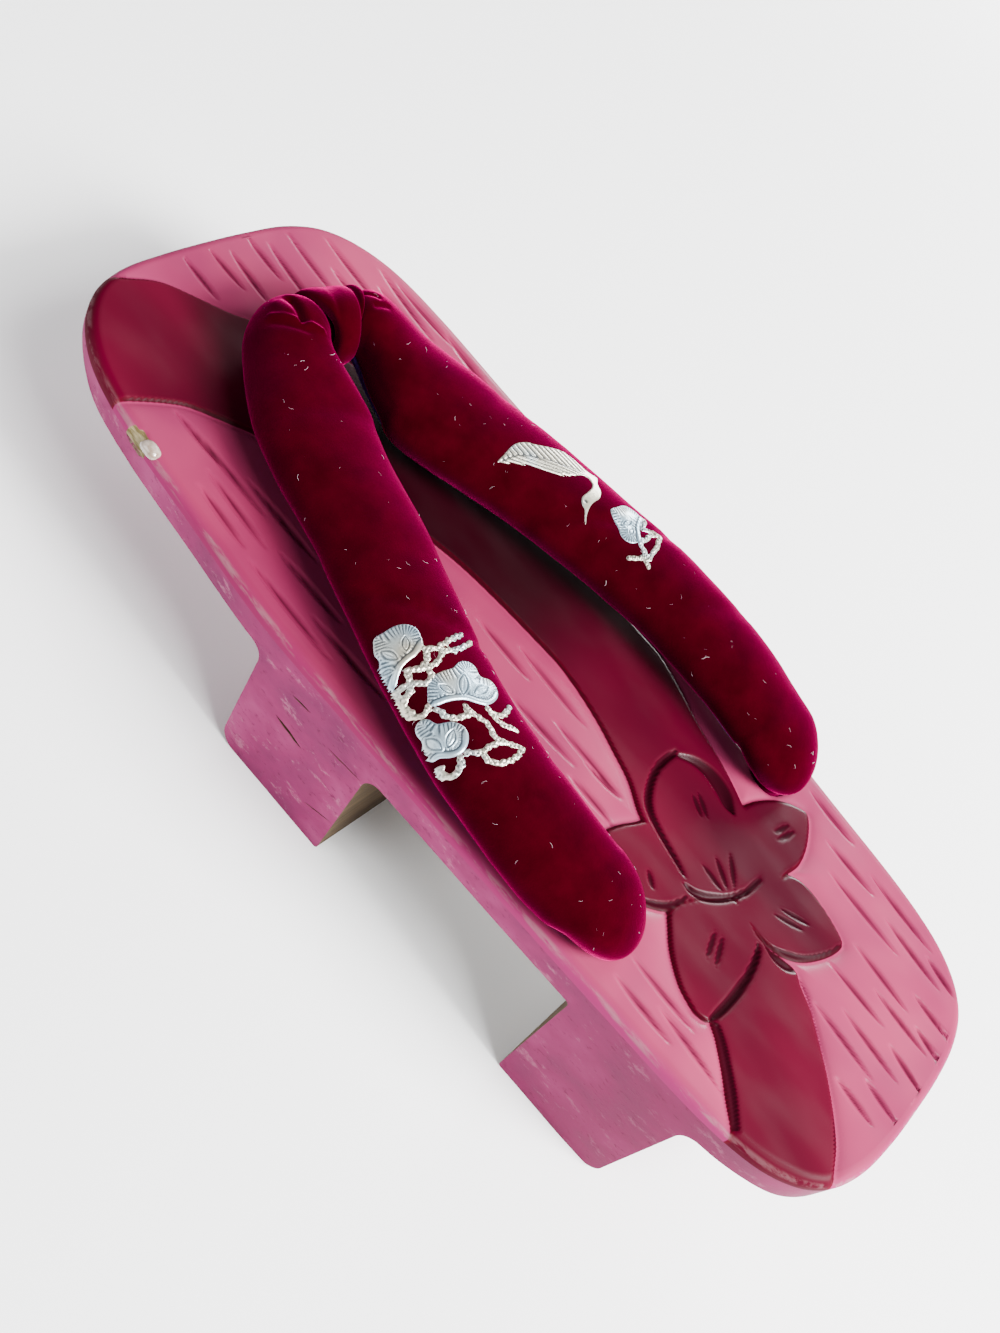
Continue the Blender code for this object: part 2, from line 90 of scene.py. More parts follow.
def linear(code):
    """A colour written as sRGB hex, as linear red, green, blue and alpha."""
    shares = [int(code[i:i + 2], 16) / 255 for i in (1, 3, 5)]
    return (*(s / 12.92 if s <= 0.04045 else ((s + 0.055) / 1.055) ** 2.4 for s in shares), 1.0)


def add_node(tree, kind, inputs=None, out=0, stops=(), **settings):
    """Adds a node with its settings, links or sets its inputs, and gives one of its outputs."""
    node = tree.nodes.new(kind)
    for key, value in settings.items():
        setattr(node, key, value)
    for key, value in (inputs or {}).items():
        if isinstance(value, bpy.types.NodeSocket):
            tree.links.new(value, node.inputs[key])
        else:
            node.inputs[key].default_value = linear(value) if isinstance(value, str) else value
    if stops:
        points = node.color_ramp.elements
        while len(points) < len(stops):
            points.new(0.5)
        for point, (place, code) in zip(points, stops):
            point.position = place
            point.color = linear(code)
    return node.outputs[out] if node.outputs else node


def new_material(name):
    """An empty material and its tree."""
    made = bpy.data.materials.new(name)
    made.use_nodes = True
    made.node_tree.nodes.clear()
    return made, made.node_tree


def surface(tree, inputs):
    """Ends a material with its shader, whose sockets are set or linked, and its output."""
    shader = add_node(tree, "ShaderNodeBsdfPrincipled", inputs)
    add_node(tree, "ShaderNodeOutputMaterial", {"Surface": shader})


def grain(tree, size_mm, stretch=(1.0, 1.0, 1.0), detail=3.0, roughness=0.55, seed=0.0):
    """Cloudy pattern on the piece's own coordinates; size_mm is the width of one cloud."""
    place = add_node(tree, "ShaderNodeTexCoord", out="Object")
    moved = {"Vector": place, "Scale": stretch, "Location": (seed, seed, seed)}
    place = add_node(tree, "ShaderNodeMapping", moved)
    cloud = {"Vector": place, "Scale": 1000.0 / size_mm, "Detail": detail, "Roughness": roughness}
    return add_node(tree, "ShaderNodeTexNoise", cloud, out="Fac")


def overlay(tree, below, above, pattern, reach=None, share=1.0):
    """Lays a colour over another, by a pattern's value or as that value crosses a reach."""
    if reach:
        limits = {"Value": pattern, "From Min": reach[0], "From Max": reach[1], "To Max": share}
        cover = add_node(tree, "ShaderNodeMapRange", limits, interpolation_type="SMOOTHSTEP")
    else:
        cover = add_node(tree, "ShaderNodeMath", {0: pattern, 1: share}, operation="MULTIPLY")
    mixed = {"Factor": cover, 6: below, 7: above}
    return add_node(tree, "ShaderNodeMix", mixed, out=2, data_type="RGBA")


# The floor is matte paint, so it takes soft shadows and shows no reflection
floor_material, tree = new_material("matte_painted_floor")
surface(tree, {"Base Color": FLOOR_COLOUR, "Roughness": 0.9, "Specular IOR Level": 0.1})
floor_mesh = bpy.data.meshes.new("floor")
corners = [(x * FLOOR_REACH, y * FLOOR_REACH, 0.0) for x, y in ((-1, -1), (1, -1), (1, 1), (-1, 1))]
floor_mesh.from_pydata(corners, [], [(0, 1, 2, 3)])
floor_mesh.materials.append(floor_material)
floor = bpy.data.objects.new("floor", floor_mesh)
bpy.context.scene.collection.objects.link(floor)

surround = bpy.data.worlds.new("surround")
surround.use_nodes = True
glow = surround.node_tree.nodes["Background"]
glow.inputs["Color"].default_value = linear(SURROUND_COLOUR)
glow.inputs["Strength"].default_value = SURROUND_STRENGTH
bpy.context.scene.world = surround
for name, place, size, watts in LIGHTS:
    lamp_data = bpy.data.lights.new(name, "AREA")
    lamp_data.size = size
    lamp_data.energy = watts
    lamp = bpy.data.objects.new(name, lamp_data)
    lamp.location = place
    lamp.rotation_euler = (-Vector(place)).to_track_quat("-Z", "Y").to_euler()
    bpy.context.scene.collection.objects.link(lamp)

# Board. One block of light wood, sawn in plan and in profile, lacquered pink on its top, sides
# and outer faces, and left bare between the teeth, with its top edge worn pale. The wood has
# dried, and the left end of its front tooth has cracked.
LENGTH = 0.2312
HALF_LENGTH = LENGTH / 2
HALF_BALL = 0.0926 / 2
BOARD_THICKNESS = 0.0090
TOOTH_HEIGHT = 0.0323
TOP_HEIGHT = TOOTH_HEIGHT + BOARD_THICKNESS
TOP_DISH = 0.0026
HEEL_RISE = 0.0018
RIM_RADIUS = 0.0025
RIM_STEPS = 7
SKIRT = 0.0008
HOLE_RADIUS = 0.0050
FRONT_HOLE = (0.0, 0.0800)
REAR_HOLE = (0.0310, -0.0495)
HOLES = (FRONT_HOLE, REAR_HOLE, (-REAR_HOLE[0], REAR_HOLE[1]))
OUTLINE = (
    # along, across
    (1.000, 0.000), (0.998, 0.250), (0.990, 0.480), (0.962, 0.665), (0.905, 0.805),
    (0.815, 0.905), (0.680, 0.955), (0.500, 0.978), (0.300, 1.000), (0.100, 0.976),
    (-0.120, 0.944), (-0.350, 0.912), (-0.560, 0.878), (-0.740, 0.842), (-0.850, 0.786),
    (-0.920, 0.698), (-0.964, 0.580), (-0.988, 0.420), (-0.998, 0.220), (-1.000, 0.000),
)
# Along and the wood's thickness there, as a share of the board's
UNDERSIDE_FRONT = (
    (1.050, 0.38), (1.000, 0.44), (0.930, 0.58), (0.860, 0.73), (0.800, 0.91), (0.740, 0.95),
    (0.600, 0.96), (0.330, 0.97),
)
UNDERSIDE_MIDDLE = ((-0.060, 1.03), (-0.200, 1.01), (-0.320, 1.00), (-0.470, 0.99))
UNDERSIDE_REAR = (
    (-0.810, 1.05), (-0.870, 1.03), (-0.930, 1.12), (-0.962, 1.08), (-0.986, 0.92), (-1.000, 0.70),
    (-1.050, 0.25),
)
# Each tooth: where its faces meet the floor, and how far they lean by the board
FRONT_TOOTH = (0.0286, 0.0024, -0.0023, 0.0021)
REAR_TOOTH = (-0.0598, 0.0034, -0.0883, 0.0010)
ROOT_FILLET = 0.0035
FRONT_TOE_ROUND = 0.0045
REAR_TOE_ROUND = 0.0030
SHARP_ROUND = 0.0009
# Drying cracks in the left end of the front tooth (mm): from, to, each ahead and up; gape
CRACKS = (
    ((21.6, 21.6), (13.0, 20.5), 0.90), ((21.2, 30.6), (16.0, 31.3), 0.50),
    ((9.6, 27.9), (-0.2, 29.2), 0.30), ((6.2, 8.4), (-1.0, 11.2), 0.32),
)
CRACK_DEPTH = 0.0012
CRACK_OUTSIDE = 0.0040
# A crack's outline, round and back: share of its length, and of half its gape
CRACK_SHAPE = (
    (0.0, 0.0), (0.12, 0.5), (0.35, 1.0), (0.5, 0.6), (0.72, 0.9), (1.0, 0.0), (0.7, -0.7),
    (0.45, -1.0), (0.2, -0.6),
)
# How far below the floor the block reaches before it is sawn
BLOCK_FOOT = -0.0040
# Which faces are bare: room past the teeth, height of the soles, room inside the board's edge
BETWEEN_ROOM = 0.0005
SOLE_ROOM = 0.0006
EDGE_ROOM = 0.00008
SHARP_DEGREES = 32
# Room between the top's points along the board, and how many strips it has across
ALONG_STEP = 0.00056
ACROSS_COUNT = 200


def smooth_rows(rows, each, before=None, after=None):
    """Points on one smooth curve through rows of numbers; the first three are a place."""
    rows = [tuple(row) for row in rows]
    first = before or tuple(2 * a - b for a, b in zip(rows[0], rows[1]))
    last = after or tuple(2 * a - b for a, b in zip(rows[-1], rows[-2]))
    padded = np.array([first] + rows + [last], float)
    gaps = np.maximum(np.linalg.norm(np.diff(padded[:, :3], axis=0), axis=1), 1e-9)
    reach = np.concatenate([[0.0], np.cumsum(gaps)])
    slopes = (padded[2:] - padded[:-2]) / (reach[2:] - reach[:-2])[:, None]
    t = (np.arange(each) / each)[:, None]
    points = []
    for i in range(1, len(padded) - 2):
        gap = reach[i + 1] - reach[i]
        near = (1 + 2 * t) * (1 - t) ** 2 * padded[i] + t * (1 - t) ** 2 * gap * slopes[i - 1]
        far = t * t * (3 - 2 * t) * padded[i + 1] + t * t * (t - 1) * gap * slopes[i]
        points.append(near + far)
    points.append(padded[-2:-1])
    return np.concatenate(points)


def top_height(y):
    """Height of the board's dished top at a place along it."""
    share = y / HALF_LENGTH
    return TOP_HEIGHT + TOP_DISH * share ** 2 - HEEL_RISE * share


def underside_height(y, rows):
    along, thickness = np.array(sorted(rows)).T
    return top_height(y) - BOARD_THICKNESS * float(np.interp(y / HALF_LENGTH, along, thickness))


def half_outline():
    """Right half of the outline, toe to heel, evenly spaced, with the outward directions."""
    rows = [(across * HALF_BALL, along * HALF_LENGTH, 0.0) for along, across in OUTLINE]
    mirror_toe = (-rows[1][0], rows[1][1], 0.0)
    mirror_heel = (-rows[-2][0], rows[-2][1], 0.0)
    fine = smooth_rows(rows, 60, mirror_toe, mirror_heel)[:, :2]
    step = np.diff(fine, axis=0)
    reach = np.concatenate([[0.0], np.cumsum(np.hypot(0.5 * step[:, 0], step[:, 1]))])
    count = int(reach[-1] / ALONG_STEP)
    even = np.linspace(0.0, reach[-1], count + 1)
    places = np.stack([np.interp(even, reach, fine[:, i]) for i in (0, 1)], axis=1)
    run = np.gradient(places, axis=0)
    run[0] = (1.0, 0.0)
    run[-1] = (-1.0, 0.0)
    run /= np.linalg.norm(run, axis=1)[:, None]
    return places, np.stack([-run[:, 1], run[:, 0]], axis=1)


def make_object(name, vertices, faces, material=None):
    """A plain mesh object from arrays, at the origin."""
    mesh = bpy.data.meshes.new(name)
    mesh.from_pydata([tuple(v) for v in vertices], [], [tuple(f) for f in faces])
    mesh.update()
    mesh.shade_smooth()
    if material:
        mesh.materials.append(material)
    thing = bpy.data.objects.new(name, mesh)
    bpy.context.scene.collection.objects.link(thing)
    return thing


def store(thing, name, values):
    """Keeps one number at each vertex, for the material."""
    layer = thing.data.attributes.new(name, "FLOAT", "POINT")
    layer.data.foreach_set("value", np.asarray(values, dtype=np.float32))


def closed_ring(half):
    """A half outline and its mirror image as one ring, toe first."""
    left = half[-2:0:-1] * np.array([-1.0, 1.0])
    return np.concatenate([half, left])


# Carving. The band, the flower and its stalk stand at the board's first height; the pink ground
# is scooped away round them, each petal is cut under its neighbour, and long gouge strokes
# follow the board. Places are millimetres in plan, to the right and ahead of the middle.
BAND_RIGHT = (
    (-36.0, 120.0), (-26.0, 112.5), (-17.1, 108.5), (-11.4, 102.2), (-7.2, 97.0), (-3.2, 93.3),
    (7.0, 83.0), (16.0, 67.0), (22.5, 46.0), (26.5, 22.0), (28.0, 4.0), (28.2, -8.0),
    (28.4, -14.5), (26.6, -22.5), (23.7, -31.6), (21.9, -39.6), (19.9, -46.0), (17.0, -53.0),
)
BAND_LEFT = (
    (-6.5, -46.0), (-5.9, -38.9), (-2.0, -31.4), (0.0, -24.9), (1.8, -18.5), (3.2, -10.7),
    (3.7, -3.8), (3.2, 2.4), (1.8, 14.2), (-0.2, 25.5), (-3.5, 36.0), (-10.5, 52.5),
    (-21.0, 68.7), (-25.0, 73.7), (-30.4, 79.9), (-33.7, 82.1), (-38.2, 84.3), (-43.5, 86.4),
    (-52.0, 89.0),
)
PETALS = {
    "top": (
        (-1.0, -62.7), (-6.2, -56.0), (-6.8, -50.0), (-5.8, -45.0), (-4.6, -41.1), (-4.1, -38.5),
        (-2.5, -36.1), (0.6, -34.0), (5.1, -32.2), (9.8, -31.6), (13.7, -32.5), (17.1, -35.9),
        (19.2, -40.2), (19.4, -44.5), (18.1, -48.0), (14.6, -50.5), (8.0, -57.0),
    ),
    "left": (
        (-1.0, -62.7), (-4.0, -52.0), (-4.8, -44.0), (-5.0, -40.1), (-8.4, -38.3), (-12.0, -36.8),
        (-15.6, -36.3), (-19.0, -39.5), (-20.8, -44.9), (-20.6, -49.6), (-18.5, -52.8),
        (-16.0, -55.2), (-12.9, -56.2), (-7.0, -58.5),
    ),
    "right": (
        (-1.0, -62.7), (6.0, -56.5), (14.0, -50.5), (17.5, -50.5), (21.4, -51.4), (26.0, -53.8),
        (29.1, -56.5), (31.2, -59.9), (31.0, -61.3), (28.2, -63.6), (23.7, -65.9), (19.0, -67.0),
        (14.4, -66.5), (8.0, -66.5),
    ),
    "lower_right": (
        (-1.0, -62.7), (6.0, -64.5), (14.4, -66.5), (16.2, -68.5), (16.9, -71.4), (16.7, -75.3),
        (15.8, -79.7), (14.4, -83.6), (13.2, -84.4), (9.8, -84.0), (5.5, -82.4), (2.0, -80.3),
        (-0.4, -77.6), (-1.6, -74.8), (-2.3, -70.0),
    ),
    "lower_left": (
        (-1.0, -62.7), (-6.0, -58.8), (-11.8, -56.0), (-15.6, -55.6), (-18.4, -57.8), (-21.9, -61.4),
        (-25.1, -66.5), (-26.2, -70.1), (-26.5, -72.4), (-25.4, -75.0), (-20.5, -76.2),
        (-14.9, -76.0), (-9.0, -75.0), (-4.8, -73.4), (-2.1, -70.0),
    ),
}
STALK = (
    (-3.0, -69.0), (-2.3, -74.0), (-1.2, -77.5), (-0.6, -80.7), (-2.2, -83.3), (-4.4, -87.8),
    (-7.8, -92.5), (-11.8, -97.8), (-16.2, -102.6), (-21.1, -106.8), (-25.2, -109.1),
    (-33.0, -113.5), (-46.0, -108.0), (-44.0, -97.0), (-37.9, -91.8), (-33.7, -86.7),
    (-30.1, -82.7), (-26.8, -78.4), (-23.6, -74.0), (-14.0, -74.0),
)
# Bevels inside the red. Each falls away steeply from a petal's crisp edge, its second line, and
# rises gently to where the carver's gouge came out, its first line; with its depth
BEVELS = (
    (
        (
            (13.7, -32.5), (9.8, -31.6), (5.1, -32.2), (0.6, -34.0), (-2.5, -36.1), (-4.1, -38.5),
            (-5.0, -41.1), (-6.0, -45.0), (-6.9, -49.5), (-7.6, -53.2),
        ),
        (
            (12.6, -33.6), (7.8, -33.8), (3.9, -34.7), (0.1, -36.9), (-2.1, -39.2), (-3.6, -42.6),
            (-4.6, -46.0), (-5.7, -50.0), (-7.0, -53.2),
        ),
        1.0,
    ),
    (
        ((12.9, -33.2), (16.6, -36.2), (18.6, -40.2), (18.8, -44.3), (17.6, -47.8), (14.8, -50.2)),
        ((12.1, -33.6), (13.9, -36.6), (14.6, -40.0), (14.1, -43.9), (13.2, -47.7), (13.8, -50.2)),
        1.1,
    ),
    (
        ((-3.0, -72.9), (-3.9, -76.3), (-3.2, -79.4), (-0.7, -81.3)),
        ((-2.5, -72.7), (-2.0, -75.4), (-1.1, -78.0), (-0.5, -80.9)),
        0.9,
    ),
    (
        ((-2.9, -71.5), (-4.8, -73.6), (-9.0, -75.3), (-14.9, -76.4), (-20.5, -76.6), (-25.0, -75.9)),
        ((-2.8, -71.3), (-7.6, -72.8), (-12.6, -73.7), (-18.6, -74.0), (-23.2, -74.1), (-25.0, -74.6)),
        1.1,
    ),
    (
        ((-20.3, -49.6), (-18.5, -52.8), (-16.0, -55.2), (-12.9, -56.2), (-10.0, -56.4)),
        ((-19.6, -49.2), (-17.1, -52.0), (-13.9, -54.3), (-10.0, -55.6)),
        0.5,
    ),
    (
        ((14.0, -84.6), (9.8, -84.3), (5.5, -82.7), (2.0, -80.6), (-0.4, -77.9), (-1.8, -74.6)),
        ((14.2, -83.8), (10.4, -83.0), (6.4, -81.4), (3.0, -79.2), (0.5, -76.4), (-1.5, -73.8)),
        0.45,
    ),
    (
        ((-24.8, -75.5), (-27.2, -78.7), (-30.5, -82.7), (-33.2, -86.0), (-37.2, -90.8)),
        ((-23.8, -76.4), (-25.2, -79.5), (-28.3, -83.8), (-31.4, -87.6), (-36.0, -92.0)),
        0.7,
    ),
    (
        (
            (-0.4, -80.9), (-1.3, -84.8), (-4.7, -89.9), (-8.4, -94.7), (-13.4, -100.5), (-18.6, -105.1),
            (-24.1, -108.4),
        ),
        (
            (-1.0, -81.6), (-3.2, -86.2), (-6.8, -91.2), (-10.6, -96.0), (-15.6, -101.4), (-20.6, -105.4),
            (-24.3, -108.0),
        ),
        0.5,
    ),
    (
        (
            (-8.6, -53.0), (-9.2, -55.7), (-8.0, -58.7), (-5.1, -61.2), (-1.4, -62.9), (3.1, -64.1),
            (6.7, -64.1), (10.0, -63.2),
        ),
        (
            (-8.3, -53.2), (-7.0, -55.9), (-4.5, -58.5), (-1.5, -60.8), (1.7, -62.1), (5.6, -62.7),
            (10.0, -63.0),
        ),
        0.95,
    ),
)
# Short strokes on the petals: from, to
STROKES = (
    ((-1.4, -53.2), (-2.1, -60.2)), ((2.7, -54.0), (-0.9, -60.6)), ((6.4, -55.4), (0.6, -61.5)),
    ((9.0, -41.6), (6.6, -46.6)), ((10.6, -42.0), (7.6, -47.6)),
    ((19.4, -58.7), (24.6, -59.8)), ((18.7, -60.3), (24.6, -61.5)),
    ((4.5, -70.0), (7.8, -76.6)), ((6.8, -70.2), (10.1, -76.8)),
    ((-9.8, -64.2), (-16.5, -66.9)), ((-9.2, -65.9), (-16.2, -69.2)), ((-13.2, -47.0), (-15.6, -50.6)),
)
# Gouge strokes on the ground: middle to the right, middle ahead, length, and how many degrees
# the end nearer the toe leans to the right
GOUGES = (
    (36.0, -65.0, 15, 4), (30.0, -75.0, 15, 2), (24.0, -83.0, 22, 3), (32.4, -89.0, 20, 5),
    (26.8, -96.0, 18, 7), (15.6, -94.0, 17, 6), (7.4, -92.6, 16, 3), (11.3, -102.4, 16, 5),
    (-3.3, -96.0, 18, 7), (1.0, -100.6, 17, 7), (18.8, -107.0, 12, 6), (12.8, -109.6, 9, 11),
    (4.0, -108.6, 11, 12), (-6.3, -108.4, 10, 9), (-11.2, -104.6, 11, 7), (28.6, -103.4, 10, 12),
    (-29.6, -65.6, 18, 0), (-35.5, -65.0, 16, 1), (-32.8, -76.0, 19, 4), (-7.5, -28.0, 10, -6),
    (-7.8, 106.4, 12, -3), (-0.6, 106.6, 12, -4), (3.3, 103.4, 15, 2), (10.1, 106.6, 13, -1),
    (13.5, 101.5, 18, 3), (20.4, 102.0, 20, 1), (29.3, 97.0, 22, 0), (36.4, 85.0, 22, 3),
    (39.2, 81.0, 20, -4), (40.4, 66.0, 17, 2), (33.0, 84.0, 16, 1), (24.8, 92.0, 16, 1),
    (-33.6, 73.0, 15, -3), (-32.8, 64.0, 24, -2), (-36.8, 56.0, 20, 1), (-41.5, 33.0, 26, -1),
    (-37.5, 19.5, 22, -4), (-29.8, 50.0, 22, -3), (-40.6, 56.0, 16, 2), (-34.4, 35.0, 19, -4),
    (-5.8, 5.0, 17, -1), (-1.9, -7.0, 22, 0), (-11.5, -13.0, 20, -4), (-7.0, -23.0, 21, -2),
    (-15.5, -2.0, 18, -3), (-13.0, -30.0, 14, -3), (-6.0, 30.0, 16, 2), (-11.0, 18.0, 18, 0),
    (32.0, 8.0, 18, 0), (36.5, -6.0, 20, 2), (33.0, -24.0, 18, 3), (39.0, 22.0, 18, 0),
    (37.5, 44.0, 18, 1), (32.0, 52.0, 18, 1), (29.5, -38.0, 16, 4), (36.0, -45.0, 16, 4),
    (41.0, 4.0, 14, 2), (-38.5, -30.0, 16, 2), (-33.0, -22.0, 18, 0), (-25.0, -38.0, 14, 3),
)
GOUGE_WIDTH = 1.00
GOUGE_DEPTH = 0.82
STROKE_WIDTH = 0.72
STROKE_DEPTH = 0.45
# The ground beside the red: depths and how far they run out; the wall down to it
GROUND_CUT = ((0.70, 1.3), (0.40, 3.6))
WALL_TOP = 0.55
WALL_FOOT = -0.45
# A chip out of the edge: middle, half sizes, depth
CHIP = ((-44.2, 77.6), (1.5, 3.4), 0.9)
# How far down a bevel's width its deepest line lies, and the width at which it is full depth
BEVEL_FLOOR = 0.42
BEVEL_FULL = 1.6
# How dark the painted shade is on a wall and in a bevel, and how soon
WALL_SHADE = 0.6
WALL_SHADE_REACH = 1.3
BEVEL_SHADE = 0.85
BEVEL_SHADE_RISE = 2.4
# A gouge's deepest line lies right of its middle, by this share of its half width
GOUGE_KEEL = 0.4
# The edge of each hole is worn down by this much, over this width
HOLE_WEAR = 0.0007
HOLE_WEAR_REACH = 0.0012


def curve_2d(points, each=8, closed=False):
    """A smooth line through places in plan."""
    rows = [(x, y, 0.0) for x, y in points]
    if closed:
        rows.append(rows[0])
        return smooth_rows(rows, each, rows[-2], rows[1])[:, :2]
    return smooth_rows(rows, each)[:, :2]


def distance_to(places, line):
    """Distance to a line, on which side of it each place lies, plus on its left, and where."""
    best = np.full(len(places), 1e9)
    side = np.ones(len(places))
    where = np.zeros(len(places))
    passed = 0.0
    for start, end in zip(line[:-1], line[1:]):
        run = end - start
        size = float(run @ run)
        if size < 1e-12:
            continue
        away = places - start
        t = np.clip(away @ run / size, 0.0, 1.0)
        gap = away - t[:, None] * run
        far = np.hypot(gap[:, 0], gap[:, 1])
        closer = far < best
        cross = run[0] * away[:, 1] - run[1] * away[:, 0]
        side = np.where(closer, np.sign(cross), side)
        best = np.where(closer, far, best)
        where = np.where(closer, passed + t * math.sqrt(size), where)
        passed += math.sqrt(size)
    return best, side, where


def inside(places, outline):
    """Which places lie inside a closed outline."""
    x, y = places.T
    within = np.zeros(len(places), bool)
    for (x1, y1), (x2, y2) in zip(outline[:-1], outline[1:]):
        if y1 == y2:
            continue
        crosses = (y1 > y) != (y2 > y)
        within ^= crosses & (x < (x2 - x1) * (y - y1) / (y2 - y1) + x1)
    return within


def red_region():
    """Outlines of everything that is lacquered red."""
    band = np.concatenate([curve_2d(BAND_RIGHT), curve_2d(BAND_LEFT)])
    regions = [np.concatenate([band, band[:1]]), curve_2d(STALK, closed=True)]
    return regions + [curve_2d(petal, closed=True) for petal in PETALS.values()]


def smooth_share(share):
    share = np.clip(share, 0.0, 1.0)
    return share * share * (3 - 2 * share)


def carve(plan):
    """How far each place in plan (mm) is cut down, its painted shade in the cuts, and its red."""
    red = np.full(len(plan), -1e9)
    for outline in red_region():
        far = distance_to(plan, outline)[0]
        red = np.maximum(red, np.where(inside(plan, outline), far, -far))
    ground = np.clip(-red, 0.0, None)
    cut = sum(depth * np.exp(-ground / reach) for depth, reach in GROUND_CUT)
    cut *= smooth_share((WALL_TOP - red) / (WALL_TOP - WALL_FOOT))
    wall_middle, wall_half = (WALL_TOP + WALL_FOOT) / 2, (WALL_TOP - WALL_FOOT) / 2
    # painted shade: how far the lacquer is darkened on the walls round the red, in bevels, gouges and
    # strokes
    stroke = WALL_SHADE * smooth_share(WALL_SHADE_REACH - np.abs(red - wall_middle) / wall_half)
    for outer, inner, depth in BEVELS:
        outer, inner = curve_2d(outer), curve_2d(inner)
        within = inside(plan, np.concatenate([outer, inner[::-1], outer[:1]]))
        to_outer = distance_to(plan[within], outer)[0]
        to_inner = distance_to(plan[within], inner)[0]
        share = to_inner / (to_inner + to_outer + 1e-6)
        fall = np.where(share < BEVEL_FLOOR, share / BEVEL_FLOOR, (1 - share) / (1 - BEVEL_FLOOR))
        fall = smooth_share(fall) * smooth_share((to_inner + to_outer) / BEVEL_FULL)
        cut[within] += depth * fall
        shade = BEVEL_SHADE * np.minimum(BEVEL_SHADE_RISE * fall, 1.0)
        stroke[within] = np.maximum(stroke[within], shade)
    for middle_x, middle_y, length, lean in GOUGES:
        run = np.array([math.sin(math.radians(lean)), math.cos(math.radians(lean))])
        away = plan - (middle_x, middle_y)
        t = 2 * (away @ run) / length
        across = away @ np.array([run[1], -run[0]])
        near = (np.abs(t) < 1) & (np.abs(across) < 2 * GOUGE_WIDTH)
        near &= red < -0.2
        leaf = 1 - t[near] ** 2
        q = across[near] / (GOUGE_WIDTH * (0.25 + 0.75 * leaf))
        left = np.clip((q + 1) / (1 + GOUGE_KEEL), 0.0, 1.0)
        right = np.clip((1 - q) / (1 - GOUGE_KEEL), 0.0, 1.0)
        v = np.where(q < GOUGE_KEEL, 1 - (1 - left) ** 1.6, right) * leaf ** 0.5
        cut[near] += GOUGE_DEPTH * v
        shade = np.where(q < GOUGE_KEEL, left ** 2.0, right ** 0.7) * leaf ** 0.35
        stroke[near] = np.maximum(stroke[near], shade)
    for start, end in STROKES:
        start, end = np.array(start), np.array(end)
        length = float(np.hypot(*(end - start)))
        run = (end - start) / length
        away = plan - start
        t = 2 * (away @ run) / length - 1
        across = away @ np.array([run[1], -run[0]])
        near = (np.abs(t) < 1) & (np.abs(across) < STROKE_WIDTH)
        leaf = 1 - t[near] ** 2
        v = np.clip(1 - np.abs(across[near]) / (STROKE_WIDTH * (0.3 + 0.7 * leaf)), 0, 1) * leaf ** 0.5
        cut[near] += STROKE_DEPTH * v
        stroke[near] = np.maximum(stroke[near], v ** 0.8)
    return cut / 1000, stroke, red


def soft_waves(points, size, seed):
    """Slow, even unevenness in a padded surface, from a few crossed waves."""
    rng = np.random.default_rng(seed)
    total = np.zeros(len(points))
    for _ in range(7):
        way = rng.normal(size=3)
        way /= np.linalg.norm(way)
        turns = points @ way * math.tau / (size * rng.uniform(0.6, 1.5))
        total += np.sin(turns + rng.uniform(0, math.tau))
    return total / 7


